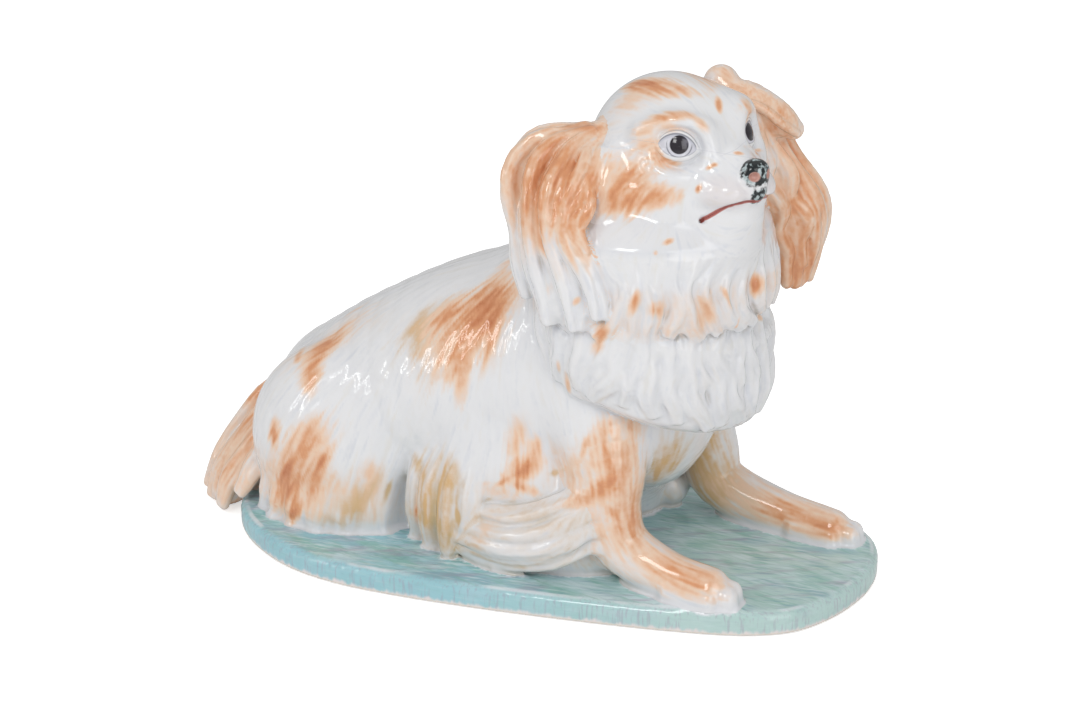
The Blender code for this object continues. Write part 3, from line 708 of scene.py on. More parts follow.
# Hair on the smooth parts of the body: place, direction, reach, relief
bodyHair = [
    ((-84, -12, 42), (-0.6, -0.3, -0.75), 12, 0.09),
    ((-70, -20, 48), (-0.6, -0.4, -0.7), 12, 0.09),
    ((-50, -22, 60), (-0.65, -0.4, -0.65), 12, 0.09),
    ((-30, -22, 70), (-0.6, -0.4, -0.7), 12, 0.09),
    ((-10, -22, 76), (-0.55, -0.4, -0.75), 12, 0.09),
    ((-84, -28, 25), (-0.5, -0.2, -0.85), 10, 0.15),
    ((-70, -37, 22), (-0.45, -0.2, -0.85), 10, 0.15),
    ((-52, -37, 22), (-0.25, -0.2, -0.95), 10, 0.15),
    ((-40, -30, 45), (-0.35, -0.35, -0.85), 12, 0.09),
    ((-20, -33, 50), (-0.3, -0.3, -0.9), 12, 0.09),
    ((0, -32, 55), (-0.3, -0.3, -0.9), 12, 0.09),
    ((-5, -35, 32), (-0.35, -0.2, -0.9), 8, 0.15),
    ((12, -33, 42), (-0.45, -0.2, -0.85), 8, 0.15),
    ((25, -34, 40), (-0.35, -0.1, -0.95), 8, 0.09),
    ((0, 0, 90), (-0.9, 0, -0.4), 14, 0.09),
    ((-30, 0, 80), (-0.95, 0, -0.3), 14, 0.09),
    ((-60, 0, 66), (-0.9, 0, -0.45), 14, 0.09),
    ((-88, 0, 46), (-0.7, 0, -0.7), 12, 0.09),
    ((42, -6, 42), (-0.15, -0.25, -1), 9, 0.09),
    ((36, -6, 22), (-0.3, -0.4, -0.9), 9, 0.09),
]
for place, direction, reach, relief in bodyHair:
    combBoth(np.array(place, float), np.array(direction, float), reach, relief)
for place, direction in (((20, -4, 8), (-1, 0, 0.2)), ((0, 0, 20), (-1, 0, 0)), ((22, 0, -8), (1, 0, 0)),
                         ((6, -18, -8), (-0.5, 0, -0.85)), ((6, 18, -8), (-0.5, 0, -0.85))):
    comb(headTurn @ np.array(place, float) + headPlace, headTurn @ np.array(direction, float), 16, 0.0, 1.5)


# The enamel painter's patches, placed on the clay
paintDabs = {  # brush patches: kind, middle, one end, half width and strength
    "body": [  # saddle, rump, haunch, falling hair, shoulder, forelegs
        ("rust", (-15, -22, 75), (-14, -17, 80), 3.7, 0.7),
        ("rust", (-17, -26, 69), (-22, -28, 64), 4.0, 1.0),
        ("ochre", (-31, -24, 66), (-24, -22, 72), 3.1, 0.6),
        ("rust", (-28, -24, 68), (-22, -22, 72), 2.8, 0.7),
        ("rust", (-20, -30, 62), (-17, -28, 66), 3.1, 0.45),
        ("rust", (-20, -32, 53), (-20, -31, 59), 2.2, 0.5),
        ("rust", (-27, -30, 58), (-27, -27, 64), 3.1, 0.22),
        ("ochre", (-36, -26, 63), (-36, -28, 58), 2.2, 0.35),
        ("rust", (-12, -29, 64), (-11, -27, 70), 2.8, 0.3),
        ("rust", (-70, -20, 50), (-68, -17, 53), 2.5, 0.6),
        ("rust", (-71, -25, 47), (-71, -20, 50), 2.8, 0.65),
        ("rust", (-69, -30, 43), (-69, -28, 46), 2.2, 0.4),
        ("rust", (-78, -22, 47), (-79, -16, 47), 1.2, 0.4),
        ("rust", (-80, -34, 27), (-80, -34, 23), 2.0, 0.7),
        ("rust", (-69, -36, 24), (-75, -35, 16), 4.4, 0.55),
        ("rust", (-75, -35, 17), (-77, -35, 13), 1.9, 1.0),
        ("rust", (-63, -36, 22), (-65, -36, 18), 1.4, 0.8),
        ("rust", (-76, -35, 10), (-78, -35, 5), 2.8, 0.75),
        ("rust", (-72, -37, 5), (-74, -37, 2), 1.7, 0.9),
        ("rust", (-67, -36, 30), (-69, -36, 25), 2.2, 0.5),
        ("rust", (-65, -36, 17), (-67, -37, 9), 3.1, 0.4),
        ("ochre", (-53, -34, 11), (-53, -35, 5), 1.9, 0.9),
        ("ochre", (-49, -33, 15), (-53, -34, 8), 1.6, 0.8),
        ("ochre", (-45, -30, 15), (-46, -31, 10), 1.0, 0.8),
        ("ochre", (-56, -36, 9), (-56, -36, 5), 1.9, 0.5),
        ("ochre", (-62, -37, 5), (-56, -36, 4), 1.9, 0.3),
        ("rust", (-49, -33, 20), (-49, -33, 17), 2.5, 0.25),
        ("ochre", (-34, -31, 24), (-31, -34, 21), 1.9, 0.5),
        ("ochre", (-27, -35, 18), (-27, -34, 25), 3.7, 0.5),
        ("rust", (-35, -32, 11), (-34, -34, 16), 0.7, 0.6),
        ("ochre", (-19, -37, 14), (-19, -37, 12), 1.0, 1.0),
        ("ochre", (-23, -36, 23), (-22, -37, 18), 2.5, 0.45),
        ("ochre", (-20, -35, 26), (-18, -37, 22), 1.9, 0.3),
        ("ochre", (-30, -35, 10), (-22, -38, 11), 1.9, 0.5),
        ("rust", (-1, -33, 30), (2, -32, 33), 2.3, 0.95),
        ("rust", (-4, -34, 28), (0, -33, 31), 0.9, 1.0),
        ("rust", (-3, -32, 39), (-4, -33, 33), 2.6, 0.4),
        ("rust", (2, -31, 37), (2, -32, 33), 1.8, 0.6),
        ("rust", (-0, -33, 25), (-5, -34, 27), 1.5, 0.8),
        ("ochre", (9, -32, 31), (15, -35, 35), 0.9, 0.7),
        ("rust", (18, -35, 41), (17, -35, 37), 0.9, 0.5),
        ("rust", (23, -33, 45), (22, -34, 41), 2.6, 0.55),
        ("rust", (27, -27, 46), (26, -28, 48), 3.3, 0.6),
        ("rust", (27, -31, 39), (25, -34, 36), 3.0, 0.45),
        ("rust", (24, -35, 31), (28, -31, 34), 2.0, 0.85),
        ("rust", (20, -36, 27), (27, -34, 30), 2.0, 0.6),
        ("rust", (-11, -34, 25), (-8, -34, 26), 0.9, 0.8),
        ("ochre", (-11, -34, 20), (-9, -34, 21), 0.7, 0.6),
        ("ochre", (19, -36, 31), (26, -34, 35), 1.1, 0.3),
        ("rust", (-8, -34, 23), (-2, -34, 23), 2.0, 0.35),
        ("rust", (30, -30, 26), (30, -29, 33), 4.0, 0.3),
        ("rust", (26, -34, 23), (25, -35, 25), 1.2, 0.6),
        ("rust", (29, -33, 17), (31, -29, 18), 4.0, 0.35),
        ("rust", (40, -32, 10), (32, -31, 14), 4.0, 0.42),
        ("rust", (50, -32, 7), (41, -32, 9), 3.6, 0.4),
        ("rust", (54, -31, 7), (51, -32, 8), 2.6, 0.25),
        ("ochre", (24, -34, 7), (24, -35, 11), 1.2, 0.5),
        ("ochre", (8, -39, 20), (-9, -38, 15), 7.3, 0.18),
        ("rust", (-10, -39, 13), (-14, -38, 6), 2.6, 0.2),
        ("ochre", (34, 16, 31), (36, 17, 36), 4.0, 0.9),
        ("ochre", (30, 16, 15), (30, 16, 24), 4.0, 0.8),
        ("ochre", (37, 17, 9), (33, 17, 4), 4.0, 0.9),
        ("ochre", (39, 21, 18), (37, 20, 25), 4.0, 0.35),
        ("ochre", (48, 18, 8), (44, 18, 10), 3.3, 0.8),
        ("rust", (59, 18, 7), (46, 19, 10), 3.6, 0.5),
        ("rust", (72, 17, 5), (62, 17, 6), 2.6, 0.4),
        ("rust", (-66, -8, 59), (-74, -10, 51), 1.2, 0.25),
        ("ochre", (-33, -24, 64), (-40, -25, 58), 5.0, 0.4),
        ("rust", (-21, -26, 66), (-29, -28, 57), 6.0, 0.35),
        ("ochre", (-31, -29, 54), (-30, -28, 62), 3.4, 0.35),
        ("ochre", (-56, -18, 61), (-47, -20, 62), 5.0, 0.18),
        ("ochre", (-60, -36, 9), (-46, -31, 10), 5.0, 0.34),
        ("rust", (-75, -34, 13), (-66, -36, 14), 6.0, 0.3),
        ("ochre", (-26, -34, 13), (-26, -32, 24), 6.5, 0.4),
        ("rust", (-33, -31, 12), (-32, -31, 22), 2.4, 0.4),
        ("rust", (21, -34, 37), (4, -34, 31), 4.5, 0.3),
        ("rust", (27, -31, 34), (29, -30, 24), 6.0, 0.2),
        ("rust", (-69, -18, 52), (-60, -14, 58), 5.0, 0.3),
        ("ochre", (32, 17, 20), (34, 17, 34), 6.0, 0.30),
    ],
    "tail": [  # washes
        ("rust", (-102, -15, 19), (-101, -4, 26), 3.7, 0.35),
        ("rust", (-97, -21, 17), (-95, -18, 23), 2.5, 0.6),
        ("ochre", (-111, -15, 8), (-109, -12, 15), 3.1, 0.35),
        ("ochre", (-110, -21, 0), (-113, -20, 6), 3.1, 0.3),
        ("rust", (-105, -20, -4), (-102, -25, 7), 2.5, 0.3),
        ("rust", (-103, -1, 26), (-103, -5, 24), 1.2, 0.6),
        ("rust", (-104, -6, 25), (-100, -4, 28), 2.0, 0.7),
    ],
    "head": [  # crown, brow, eye, cheek, spots
        ("rust", (23.0, -11.0, 134.6), (31.0, -12.6, 134.8), 2.3, 0.9),
        ("rust", (26.2, -13.8, 134.1), (20.4, -14.9, 131.7), 3.9, 0.35),
        ("rust", (32.5, -13.7, 134.2), (37.9, -11.5, 133.8), 2.0, 0.4),
        ("rust", (21.6, -15.3, 131.9), (18.8, -18.6, 127.4), 3.9, 0.2),
        ("rust", (31.2, -23.3, 128.8), (26.4, -24.1, 126.0), 1.8, 0.5),
        ("rust", (37.5, -21.0, 130.4), (32.3, -23.4, 128.9), 1.6, 0.6),
        ("rust", (42.3, -19.9, 128.7), (44.3, -19.5, 126.4), 1.4, 0.5),
        ("rust", (36.3, -22.9, 126.8), (41.3, -19.8, 125.1), 1.4, 0.3),
        ("rust", (31.8, -24.3, 121.7), (30.8, -24.5, 125.1), 2.9, 0.35),
        ("rust", (28.8, -24.7, 122.9), (25.4, -24.2, 123.4), 2.0, 0.3),
        ("rust", (36.0, -24.4, 118.7), (32.1, -24.9, 119.8), 1.4, 0.55),
        ("rust", (22.7, -27.2, 111.8), (27.6, -26.4, 114.2), 4.9, 0.7),
        ("rust", (25.2, -28.1, 107.8), (33.5, -27.8, 109.7), 2.5, 0.95),
        ("rust", (35.4, -27.4, 110.4), (38.1, -26.4, 111.4), 2.2, 0.6),
        ("rust", (27.7, -26.6, 113.2), (24.0, -25.6, 116.6), 3.4, 0.4),
        ("rust", (20.3, -26.8, 114.4), (18.7, -25.5, 117.9), 2.4, 0.35),
        ("rust", (46.2, -21.8, 118.0), (47.6, -20.8, 118.6), 0.6, 0.8),
        ("rust", (44.1, -24.4, 112.7), (44.6, -24.2, 113.5), 0.8, 0.9),
        ("rust", (51.8, -16.8, 120.9), (52.9, -16.0, 120.7), 0.7, 0.6),
        ("rust", (43.8, -10.4, 131.2), (42.8, -8.6, 132.4), 1.0, 0.8),
        ("rust", (38.7, -30.6, 99.6), (39.6, -29.6, 100.1), 0.8, 0.7),
        ("rust", (36.5, -33.7, 97.3), (36.7, -33.4, 97.6), 0.6, 0.5),
        ("rust", (50.3, -20.8, 97.6), (51.1, -19.4, 97.6), 0.8, 0.6),
        ("rust", (50.0, -4.6, 128.5), (47.1, -2.5, 131.7), 1.6, 0.5),
        ("rust", (52.1, -3.4, 118.3), (51.9, -12.0, 121.5), 0.8, 0.5),
    ],
    "earRight": [  # washes and spots
        ("rust", (2, -34, 112), (-1, -28, 118), 5.9, 0.6),
        ("rust", (11, -32, 116), (9, -27, 121), 5.9, 0.65),
        ("rust", (16, -36, 109), (15, -30, 116), 4.9, 0.6),
        ("rust", (7, -39, 107), (6, -37, 111), 5.9, 0.45),
        ("rust", (11, -21, 124), (7, -22, 124), 2.0, 0.7),
        ("rust", (5, -29, 119), (5, -25, 122), 3.9, 0.4),
        ("rust", (17, -28, 112), (17, -27, 117), 2.9, 0.5),
        ("rust", (19, -38, 105), (18, -36, 109), 3.9, 0.5),
        ("rust", (1, -37, 104), (2, -36, 107), 3.4, 0.35),
        ("rust", (9, -39, 96), (7, -39, 98), 1.4, 0.8),
        ("rust", (10, -39, 85), (10, -39, 87), 1.1, 0.5),
        ("rust", (18, -41, 84), (19, -41, 85), 0.9, 0.6),
        ("rust", (22, -40, 96), (21, -39, 99), 1.6, 0.5),
    ],
    "earLeft": [  # washes
        ("rust", (47, 11, 129), (42, 11, 131), 3.9, 0.5),
        ("rust", (53, 12, 124), (50, 12, 127), 2.9, 0.45),
        ("rust", (52, 25, 114), (54, 12, 121), 3.9, 0.5),
        ("rust", (55, 24, 105), (53, 26, 111), 4.9, 0.6),
        ("rust", (53, 21, 94), (54, 22, 104), 5.9, 0.55),
        ("rust", (60, 28, 95), (58, 28, 102), 2.9, 0.6),
        ("rust", (55, 24, 83), (54, 22, 93), 4.9, 0.7),
        ("rust", (56, 25, 76), (55, 24, 79), 3.4, 0.7),
        ("rust", (38, 10, 134), (38, 10, 133), 2.0, 0.45),
    ],
    "ruff": [  # spots
        ("rust", (33, -38, 85), (34, -38, 88), 1.2, 0.75),
        ("rust", (38, -36, 83), (38, -36, 84), 1.9, 0.6),
        ("rust", (47, -28, 79), (48, -28, 84), 2.2, 0.3),
        ("rust", (49, -28, 82), (47, -29, 86), 1.4, 0.3),
        ("rust", (52, -24, 86), (54, -22, 81), 0.7, 0.4),
        ("rust", (54, -20, 76), (54, -19, 79), 0.5, 0.5),
        ("rust", (56, -12, 85), (56, -12, 87), 1.6, 0.85),
        ("rust", (55, -4, 73), (56, -8, 76), 0.9, 0.4),
        ("rust", (24, -40, 76), (25, -40, 78), 1.6, 0.9),
        ("rust", (23, -39, 72), (24, -39, 74), 1.6, 0.4),
        ("rust", (11, -36, 63), (11, -37, 65), 0.8, 0.4),
        ("ochre", (48, -28, 60), (49, -27, 66), 3.3, 0.12),
        ("rust", (13, -36, 58), (13, -37, 62), 1.1, 0.6),
    ],
}
paintPieces = {
    "body": ("trunk_shell", "haunch_right", "belly_hair_right", "foreleg_right", "foreleg_left"),
    "tail": ("tail",),
    "head": ("head_shell", "ruff_upper"),
    "earRight": ("ear_right",),
    "earLeft": ("ear_left",),
    "ruff": ("ruff_upper", "ruff_middle", "ruff_lower"),
}
paintStrength = {"body": 0.95, "tail": 0.8, "head": 0.78, "earRight": 0.62, "earLeft": 0.55, "ruff": 0.85}
ownPaint = ("foreleg_right", "haunch_right", "belly_hair_right")  # their far twins are pieces of their own
legStrength = {"foreleg_right": 0.75, "foreleg_left": 1.1}
paintCoats = {  # thin wash over a whole piece: kind, heights and strengths there
    "ear_right": ("rust", (86, 94, 106, 120), (0.0, 0.10, 0.22, 0.20)),
    "ear_left": ("rust", (74, 90, 130), (0.30, 0.24, 0.18)),
    "ruff_upper": ("rust", (72, 76, 86, 91), (0.0, 0.10, 0.09, 0.0)),
    "haunch_right": ("rust", (1, 5, 14, 25), (0.0, 0.12, 0.10, 0.0)),
    "haunch_left": ("rust", (1, 5, 14, 25), (0.0, 0.12, 0.10, 0.0)),
    "tail": ("rust", (-6, 6, 30), (0.16, 0.26, 0.22)),
    "belly_hair_right": ("ochre", (0, 4, 18, 32), (0.10, 0.24, 0.18, 0.0)),
    "belly_hair_left": ("ochre", (0, 4, 18, 32), (0.10, 0.24, 0.18, 0.0)),
    "foreleg_right": ("rust", (1, 4, 26, 44), (0.0, 0.16, 0.18, 0.0)),
    "foreleg_left": ("rust", (0, 3, 12, 24), (0.0, 0.16, 0.10, 0.0)),
}


def otherSide(name, dab):  # the same patch on the side that the photo doesn't show, a little off
    kind, middle, end, wide, strength = dab
    middle, end = np.array(middle, float), np.array(end, float)
    if name in ("head_shell", "ruff_upper"):
        spots = [headTurn.T @ (spot - headPlace) for spot in (middle, end)]
        if spots[0][1] > -5:
            return None
        middle, end = (headTurn @ (spot * (1, -1, 1)) + headPlace for spot in spots)
    else:
        middle, end = middle * (1, -1, 1), end * (1, -1, 1)
    drift = np.array([math.sin(middle[0]), 0, math.cos(middle[2] * 0.7)]) * 1.6
    return kind, middle + drift, end + 0.5 * drift, wide * 1.1, 0.9 * strength


def paintMasks(name, points, stroke):
    masks = {"rust": np.zeros(len(points)), "ochre": np.zeros(len(points))}
    if name in paintCoats:
        kind, heights, strengths = paintCoats[name]
        cloud = softNoise(points / 7.0) * 1.2 + 0.4
        masks[kind] += np.interp(points[:, 2], heights, strengths) * cloud * (0.55 + 0.9 * stroke)
    fade = 1.0
    if name in ("foreleg_right", "foreleg_left"):  # the toes stay white along the slab
        toe = 56 if name == "foreleg_right" else 75
        fade = np.interp(points[:, 2], (0.5, 3.5), (0, 1))
        fade = fade * np.interp(points[:, 0], (toe - 3, toe + 4), (1, 0.25))
    twin = name.replace("_left", "_right") if name in ("haunch_left", "belly_hair_left") else name
    for region, shown in paintPieces.items():
        if twin not in shown:
            continue
        amount = paintStrength[region] * legStrength.get(name, 1.0)
        for dab in paintDabs[region]:
            copies = [dab] if twin == name else []
            if region in ("body", "head") and name not in ownPaint:
                other = otherSide(name, dab)
                if other is not None and not (name == "foreleg_left" and dab[1][1] > 0):
                    copies.append(other)
            for kind, middle, end, wide, strength in copies:
                run = np.subtract(end, middle)
                length = max(float(np.linalg.norm(run)), 0.1)
                away = points - middle
                near = np.flatnonzero((away**2).sum(axis=1) < (1.5 * (length + wide) + 1) ** 2)
                away = away[near]
                along = away @ (run / length)
                across = np.sqrt(np.maximum((away**2).sum(axis=1) - along**2, 0))
                broad = min(max(wide - 1, 0) / 2, 1)  # broad patches fade out wide and soft
                along = along / (length + (0.4 + 0.4 * broad) * wide)
                reach = np.hypot(along, across / ((1.1 + 0.3 * broad) * wide))
                reach += (0.5 - stroke[near]) * (0.3 + 0.45 * broad)
                cover = np.clip((1.4 + 0.3 * broad - reach) / (1.0 + 0.6 * broad), 0, 1) ** 1.6
                patch = strength * amount * cover
                masks[kind][near] += patch * (1 - masks[kind][near])
    return {kind: mask * fade for kind, mask in masks.items()}


def snapToClay(points, parts):  # moves points onto the surface of the clay parts
    low, high = points.min(axis=0) - 7, points.max(axis=0) + 7
    grid = makeGrid(low, high, 0.7)
    field = clayField(grid, parts, 4.0)
    for _ in range(6):
        depth = sample(field, grid, points)
        points = points - skinNormals(grid, field, points) * depth[:, None]
    return points


def paintFace(piece, points):
    face = (points - headPlace) @ headTurn
    setMask(piece, "face", face)
    line = smoothPath(headShape["mouth"], 6)[:, :3]
    line = snapToClay(line @ headTurn.T + headPlace, pieces["head_shell"])
    line = (line - headPlace) @ headTurn
    distance = np.full(len(face), 9.0)
    near = np.flatnonzero(face[:, 0] > 16)
    spots = np.column_stack([face[near, 0], -np.abs(face[near, 1]), face[near, 2]])
    for start, end in zip(line, line[1:]):
        run = end - start
        share = np.clip((spots - start) @ run / max(float(run @ run), 1e-6), 0, 1)
        gap = np.linalg.norm(spots - start - share[:, None] * run, axis=1)
        distance[near] = np.minimum(distance[near], gap)
    setMask(piece, "mouth", distance)
    twin = np.column_stack([face[:, 0], -np.abs(face[:, 1]), face[:, 2]])
    for mask, labels in (("nose", ("nosePad", "philtrum")), ("nostril", ("nostril",)), ("muzzle", ("lip",))):
        away = np.full(len(face), 5.0)
        for label in labels:
            centre, radii = headShape[label]
            away = np.minimum(away, np.linalg.norm((twin - centre) / radii, axis=1))
        setMask(piece, mask, away)


def sample(array, grid, points):
    spot = (points - grid["low"]) / grid["grain"]
    spot = np.clip(spot, 0, np.array(grid["size"]) - 1.001)
    cell = spot.astype(np.int32)
    part = (spot - cell).astype(np.float32)
    if array.ndim == 4:
        part = part[:, :, None]
    i, j, k = cell.T
    u, v, w = part[:, 0], part[:, 1], part[:, 2]
    low = (array[i, j, k] * (1 - u) + array[i + 1, j, k] * u) * (1 - v)
    low = low + (array[i, j + 1, k] * (1 - u) + array[i + 1, j + 1, k] * u) * v
    k = k + 1
    high = (array[i, j, k] * (1 - u) + array[i + 1, j, k] * u) * (1 - v)
    high = high + (array[i, j + 1, k] * (1 - u) + array[i + 1, j + 1, k] * u) * v
    return low * (1 - w) + high * w


speckle = dice.random((64, 64, 64)).astype(np.float32)


def softNoise(points):
    cell = np.floor(points).astype(np.int32)
    part = (points - cell).astype(np.float32)
    part = part * part * (3 - 2 * part)
    (i, j, k), (u, v, w) = (cell & 63).T, part.T
    i1, j1, k1 = (i + 1) & 63, (j + 1) & 63, (k + 1) & 63
    near = (speckle[i, j, k] * (1 - u) + speckle[i1, j, k] * u) * (1 - v)
    near = near + (speckle[i, j1, k] * (1 - u) + speckle[i1, j1, k] * u) * v
    off = (speckle[i, j, k1] * (1 - u) + speckle[i1, j, k1] * u) * (1 - v)
    off = off + (speckle[i, j1, k1] * (1 - u) + speckle[i1, j1, k1] * u) * v
    return near * (1 - w) + off * w


def streaks(points, flow, width, length):  # brush or comb strokes along the hair, 0 to 1
    steps = math.ceil(2 * length / (0.75 * width)) + 1
    total = np.zeros(len(points), np.float32)
    for step in np.linspace(-1, 1, steps):
        total += softNoise((points + flow * (step * length)) / width)
    return np.clip(0.5 + (total / steps - 0.5) * 2.4, 0, 1)


def flowAt(points):
    flow = sample(flowSum, flowGrid, points)
    weight = sample(flowWeight, flowGrid, points)
    return unit(flow).astype(np.float32), sample(reliefSum, flowGrid, points) / weight


def pieceBox(name):
    if name == "base_slab":
        return np.array([-106.0, -54, -slabTop - 2]), np.array([90.0, 53, 3.0])
    lows, highs = zip(*(part["box"] for part in pieces[name] if not part["dig"]))
    return np.min(lows, axis=0), np.max(highs, axis=0)


def boxesMeet(a, b):
    return bool(np.all(a[0] - 6 < b[1]) and np.all(b[0] - 6 < a[1]))


def keepLargest(points, faces):
    label = np.arange(len(points))
    while True:
        fresh = label.copy()
        low = label[faces].min(axis=1)
        for corner in range(4):
            np.minimum.at(fresh, faces[:, corner], low)
        fresh = fresh[fresh]
        if np.array_equal(fresh, label):
            break
        label = fresh
    names, counts = np.unique(label[faces[:, 0]], return_counts=True)
    kept = faces[label[faces[:, 0]] == names[counts.argmax()]]
    used, index = np.unique(kept, return_inverse=True)
    return points[used], index.reshape(kept.shape)


def fieldOf(name, grid):
    return slabField(grid) if name == "base_slab" else clayField(grid, pieces[name], makers[name][1])


names = list(makers)
boxes = {name: pieceBox(name) for name in names}


def skinOf(name):
    # The piece's own grid, the blended skin of the whole dog on it, and the piece's share of it
    low, high = boxes[name]
    grid = makeGrid(low - 3, high + 3, makers[name][2] * draft)
    skin = own = None
    others = np.full(grid["size"], far, np.float32)
    for other in names:
        if not boxesMeet(boxes[name], boxes[other]):
            continue
        field = fieldOf(other, grid)
        if other == name:
            own = field
        else:
            others = np.minimum(others, field)
        blend = makers[other][1]
        if other == "base_slab" or skin is None:
            skin = field.copy()
        else:
            skin = softMin(skin, field, blend)
    floor = cellAxes(grid, np.zeros(3, int), grid["size"])[2]
    if name == "base_slab":
        return grid, np.maximum(skin, own - 0.6), own - overlap * 0.2, others
    share = 0.5 * (own - others - overlap)
    if name != "tail":
        share = np.maximum(share, -0.35 - floor)
    return grid, skin, share, others


def carveSkin(grid, skin, share):
    # Combed relief, only in the cells near the skin that this piece shows
    near = (np.abs(skin) < 1.6) & (share < 1.5)
    near[:, :, grid["low"][2] + grid["grain"] * np.arange(grid["size"][2]) < 2 - slabTop] = False
    cells = np.argwhere(near)
    points = grid["low"] + grid["grain"] * cells
    flow, relief = flowAt(points)
    raised = streaks(points, flow, 1.3, 4.2) - 0.5
    skin[near] -= 2.0 * relief * raised
    return skin


def skinNormals(grid, skin, points):
    step = 0.6 * grid["grain"]
    slopes = []
    for axis in range(3):
        shift = np.zeros(3)
        shift[axis] = step
        slopes.append(sample(skin, grid, points + shift) - sample(skin, grid, points - shift))
    return unit(np.stack(slopes, axis=1))


def makeMesh(name, points, faces, normals):
    mesh = bpy.data.meshes.new(name)
    mesh.vertices.add(len(points))
    place = (points + np.array([0, 0, slabTop])) * mm
    mesh.vertices.foreach_set("co", place.astype(np.float32).ravel())
    mesh.loops.add(faces.size)
    mesh.loops.foreach_set("vertex_index", faces.astype(np.int32).ravel())
    mesh.polygons.add(len(faces))
    mesh.polygons.foreach_set("loop_start", np.arange(0, faces.size, 4, dtype=np.int32))
    mesh.polygons.foreach_set("use_smooth", np.ones(len(faces), bool))
    mesh.update(calc_edges=True)
    mesh.validate()
    mesh.normals_split_custom_set_from_vertices(normals.astype(np.float32).tolist())
    piece = bpy.data.objects.new(name, mesh)
    bpy.context.scene.collection.objects.link(piece)
    return piece


def setMask(piece, label, values):
    kind = "FLOAT_VECTOR" if values.ndim == 2 else "FLOAT"
    mask = piece.data.attributes.new(label, kind, "POINT")
    mask.data.foreach_set("vector" if values.ndim == 2 else "value", values.astype(np.float32).ravel())


def buildPiece(name):
    grid, skin, share, others = skinOf(name)
    skin = carveSkin(grid, skin, share)
    rank = names.index(name)
    body = np.maximum(skin + sink * (len(names) - rank) * 0.2, share)
    body = np.clip(body, -2.5, 2.5)
    volume = openvdb.FloatGrid(background=2.5)
    volume.copyFromArray(np.ascontiguousarray(body, np.float32))
    volume.transform = openvdb.createLinearTransform(voxelSize=grid["grain"])
    points, faces = volume.convertToQuads(isovalue=0.0)
    points, faces = keepLargest(points + grid["low"], faces.astype(np.int64))
    normals = skinNormals(grid, skin, points)
    piece = makeMesh(name, points, faces, normals)
    flow = flowAt(points)[0]
    flow = unit(flow - normals * (flow * normals).sum(axis=1, keepdims=True))
    stroke = streaks(points + 31.7, flow, 0.8, 4.0)
    setMask(piece, "stroke", stroke)
    # How deep each point lies in a groove; the glaze darkens by it as painted shade, less on the face
    depth = np.clip(1 - sample(skin, grid, points + 1.6 * normals) / 1.6, 0, 1)
    setMask(piece, "hollow", depth * (0.3 if name == "head_shell" else 1.0))
    if name == "base_slab":
        setMask(piece, "foot", sample(others, grid, points))
        setMask(piece, "rim", outlineDistance(points))
    print(name, len(faces), "quads")
    return piece, points, stroke


clay = {name: buildPiece(name) for name in names}
for name, (piece, points, stroke) in clay.items():
    if name != "base_slab":
        for kind, mask in paintMasks(name, points, stroke).items():
            setMask(piece, kind, mask)
paintFace(*clay["head_shell"][:2])


# Shader tools
def tint(red, green, blue):  # screen values, 0 to 255, as the shaders want them
    parts = [value / 255 for value in (red, green, blue)]
    return (*[part / 12.92 if part < 0.04045 else ((part + 0.055) / 1.055) ** 2.4 for part in parts], 1)


def addNode(tree, kind, sockets=None, **settings):
    node = tree.nodes.new("ShaderNode" + kind)
    for label, value in settings.items():
        setattr(node, label, value)
    for label, value in (sockets or {}).items():
        if isinstance(value, bpy.types.NodeSocket):
            tree.links.new(value, node.inputs[label])
        else:
            node.inputs[label].default_value = value
    return node


def reckon(tree, operation, *values, clamp=False):
    return addNode(tree, "Math", dict(enumerate(values)), operation=operation, use_clamp=clamp).outputs[0]


def blendColors(tree, share, below, above, mode="MIX"):
    mix = addNode(tree, "Mix", {0: share, 6: below, 7: above}, data_type="RGBA", blend_type=mode)
    return mix.outputs[2]


def rise(tree, value, low, high):  # 0 at low, 1 at high, smooth between
    sockets = {"Value": value, "From Min": low, "From Max": high}
    return addNode(tree, "MapRange", sockets, interpolation_type="SMOOTHSTEP").outputs[0]


def noiseOf(tree, place, size, detail=2.0, scale=(1, 1, 1), turn=0.0):  # size of a grain in millimetres
    stretch = {"Vector": place, "Scale": scale, "Rotation": (0, 0, turn)}
    spread = addNode(tree, "Mapping", stretch, vector_type="TEXTURE").outputs[0]
    sockets = {"Vector": spread, "Scale": 1000 / size, "Detail": detail}
    return addNode(tree, "TexNoise", sockets).outputs["Fac"]


def maskOf(tree, label, output="Fac"):
    return addNode(tree, "Attribute", attribute_name=label).outputs[output]


def rampOf(tree, value, stops):
    ramp = addNode(tree, "ValToRGB", {"Fac": value})
    while len(ramp.color_ramp.elements) < len(stops):
        ramp.color_ramp.elements.new(0.5)
    for element, (at, color) in zip(ramp.color_ramp.elements, stops):
        element.position = at
        element.color = color
    return ramp.outputs["Color"]


def makeGroup(name, inputs, outputs):
    group = bpy.data.node_groups.new(name, "ShaderNodeTree")
    for label, (kind, value) in inputs.items():
        socket = group.interface.new_socket(label, in_out="INPUT", socket_type="NodeSocket" + kind)
        if value is not None:
            socket.default_value = value
    for label, kind in outputs.items():
        group.interface.new_socket(label, in_out="OUTPUT", socket_type="NodeSocket" + kind)
    return group, group.nodes.new("NodeGroupInput").outputs, group.nodes.new("NodeGroupOutput").inputs


def useGroup(tree, group, sockets):
    return addNode(tree, "Group", sockets, node_tree=group).outputs


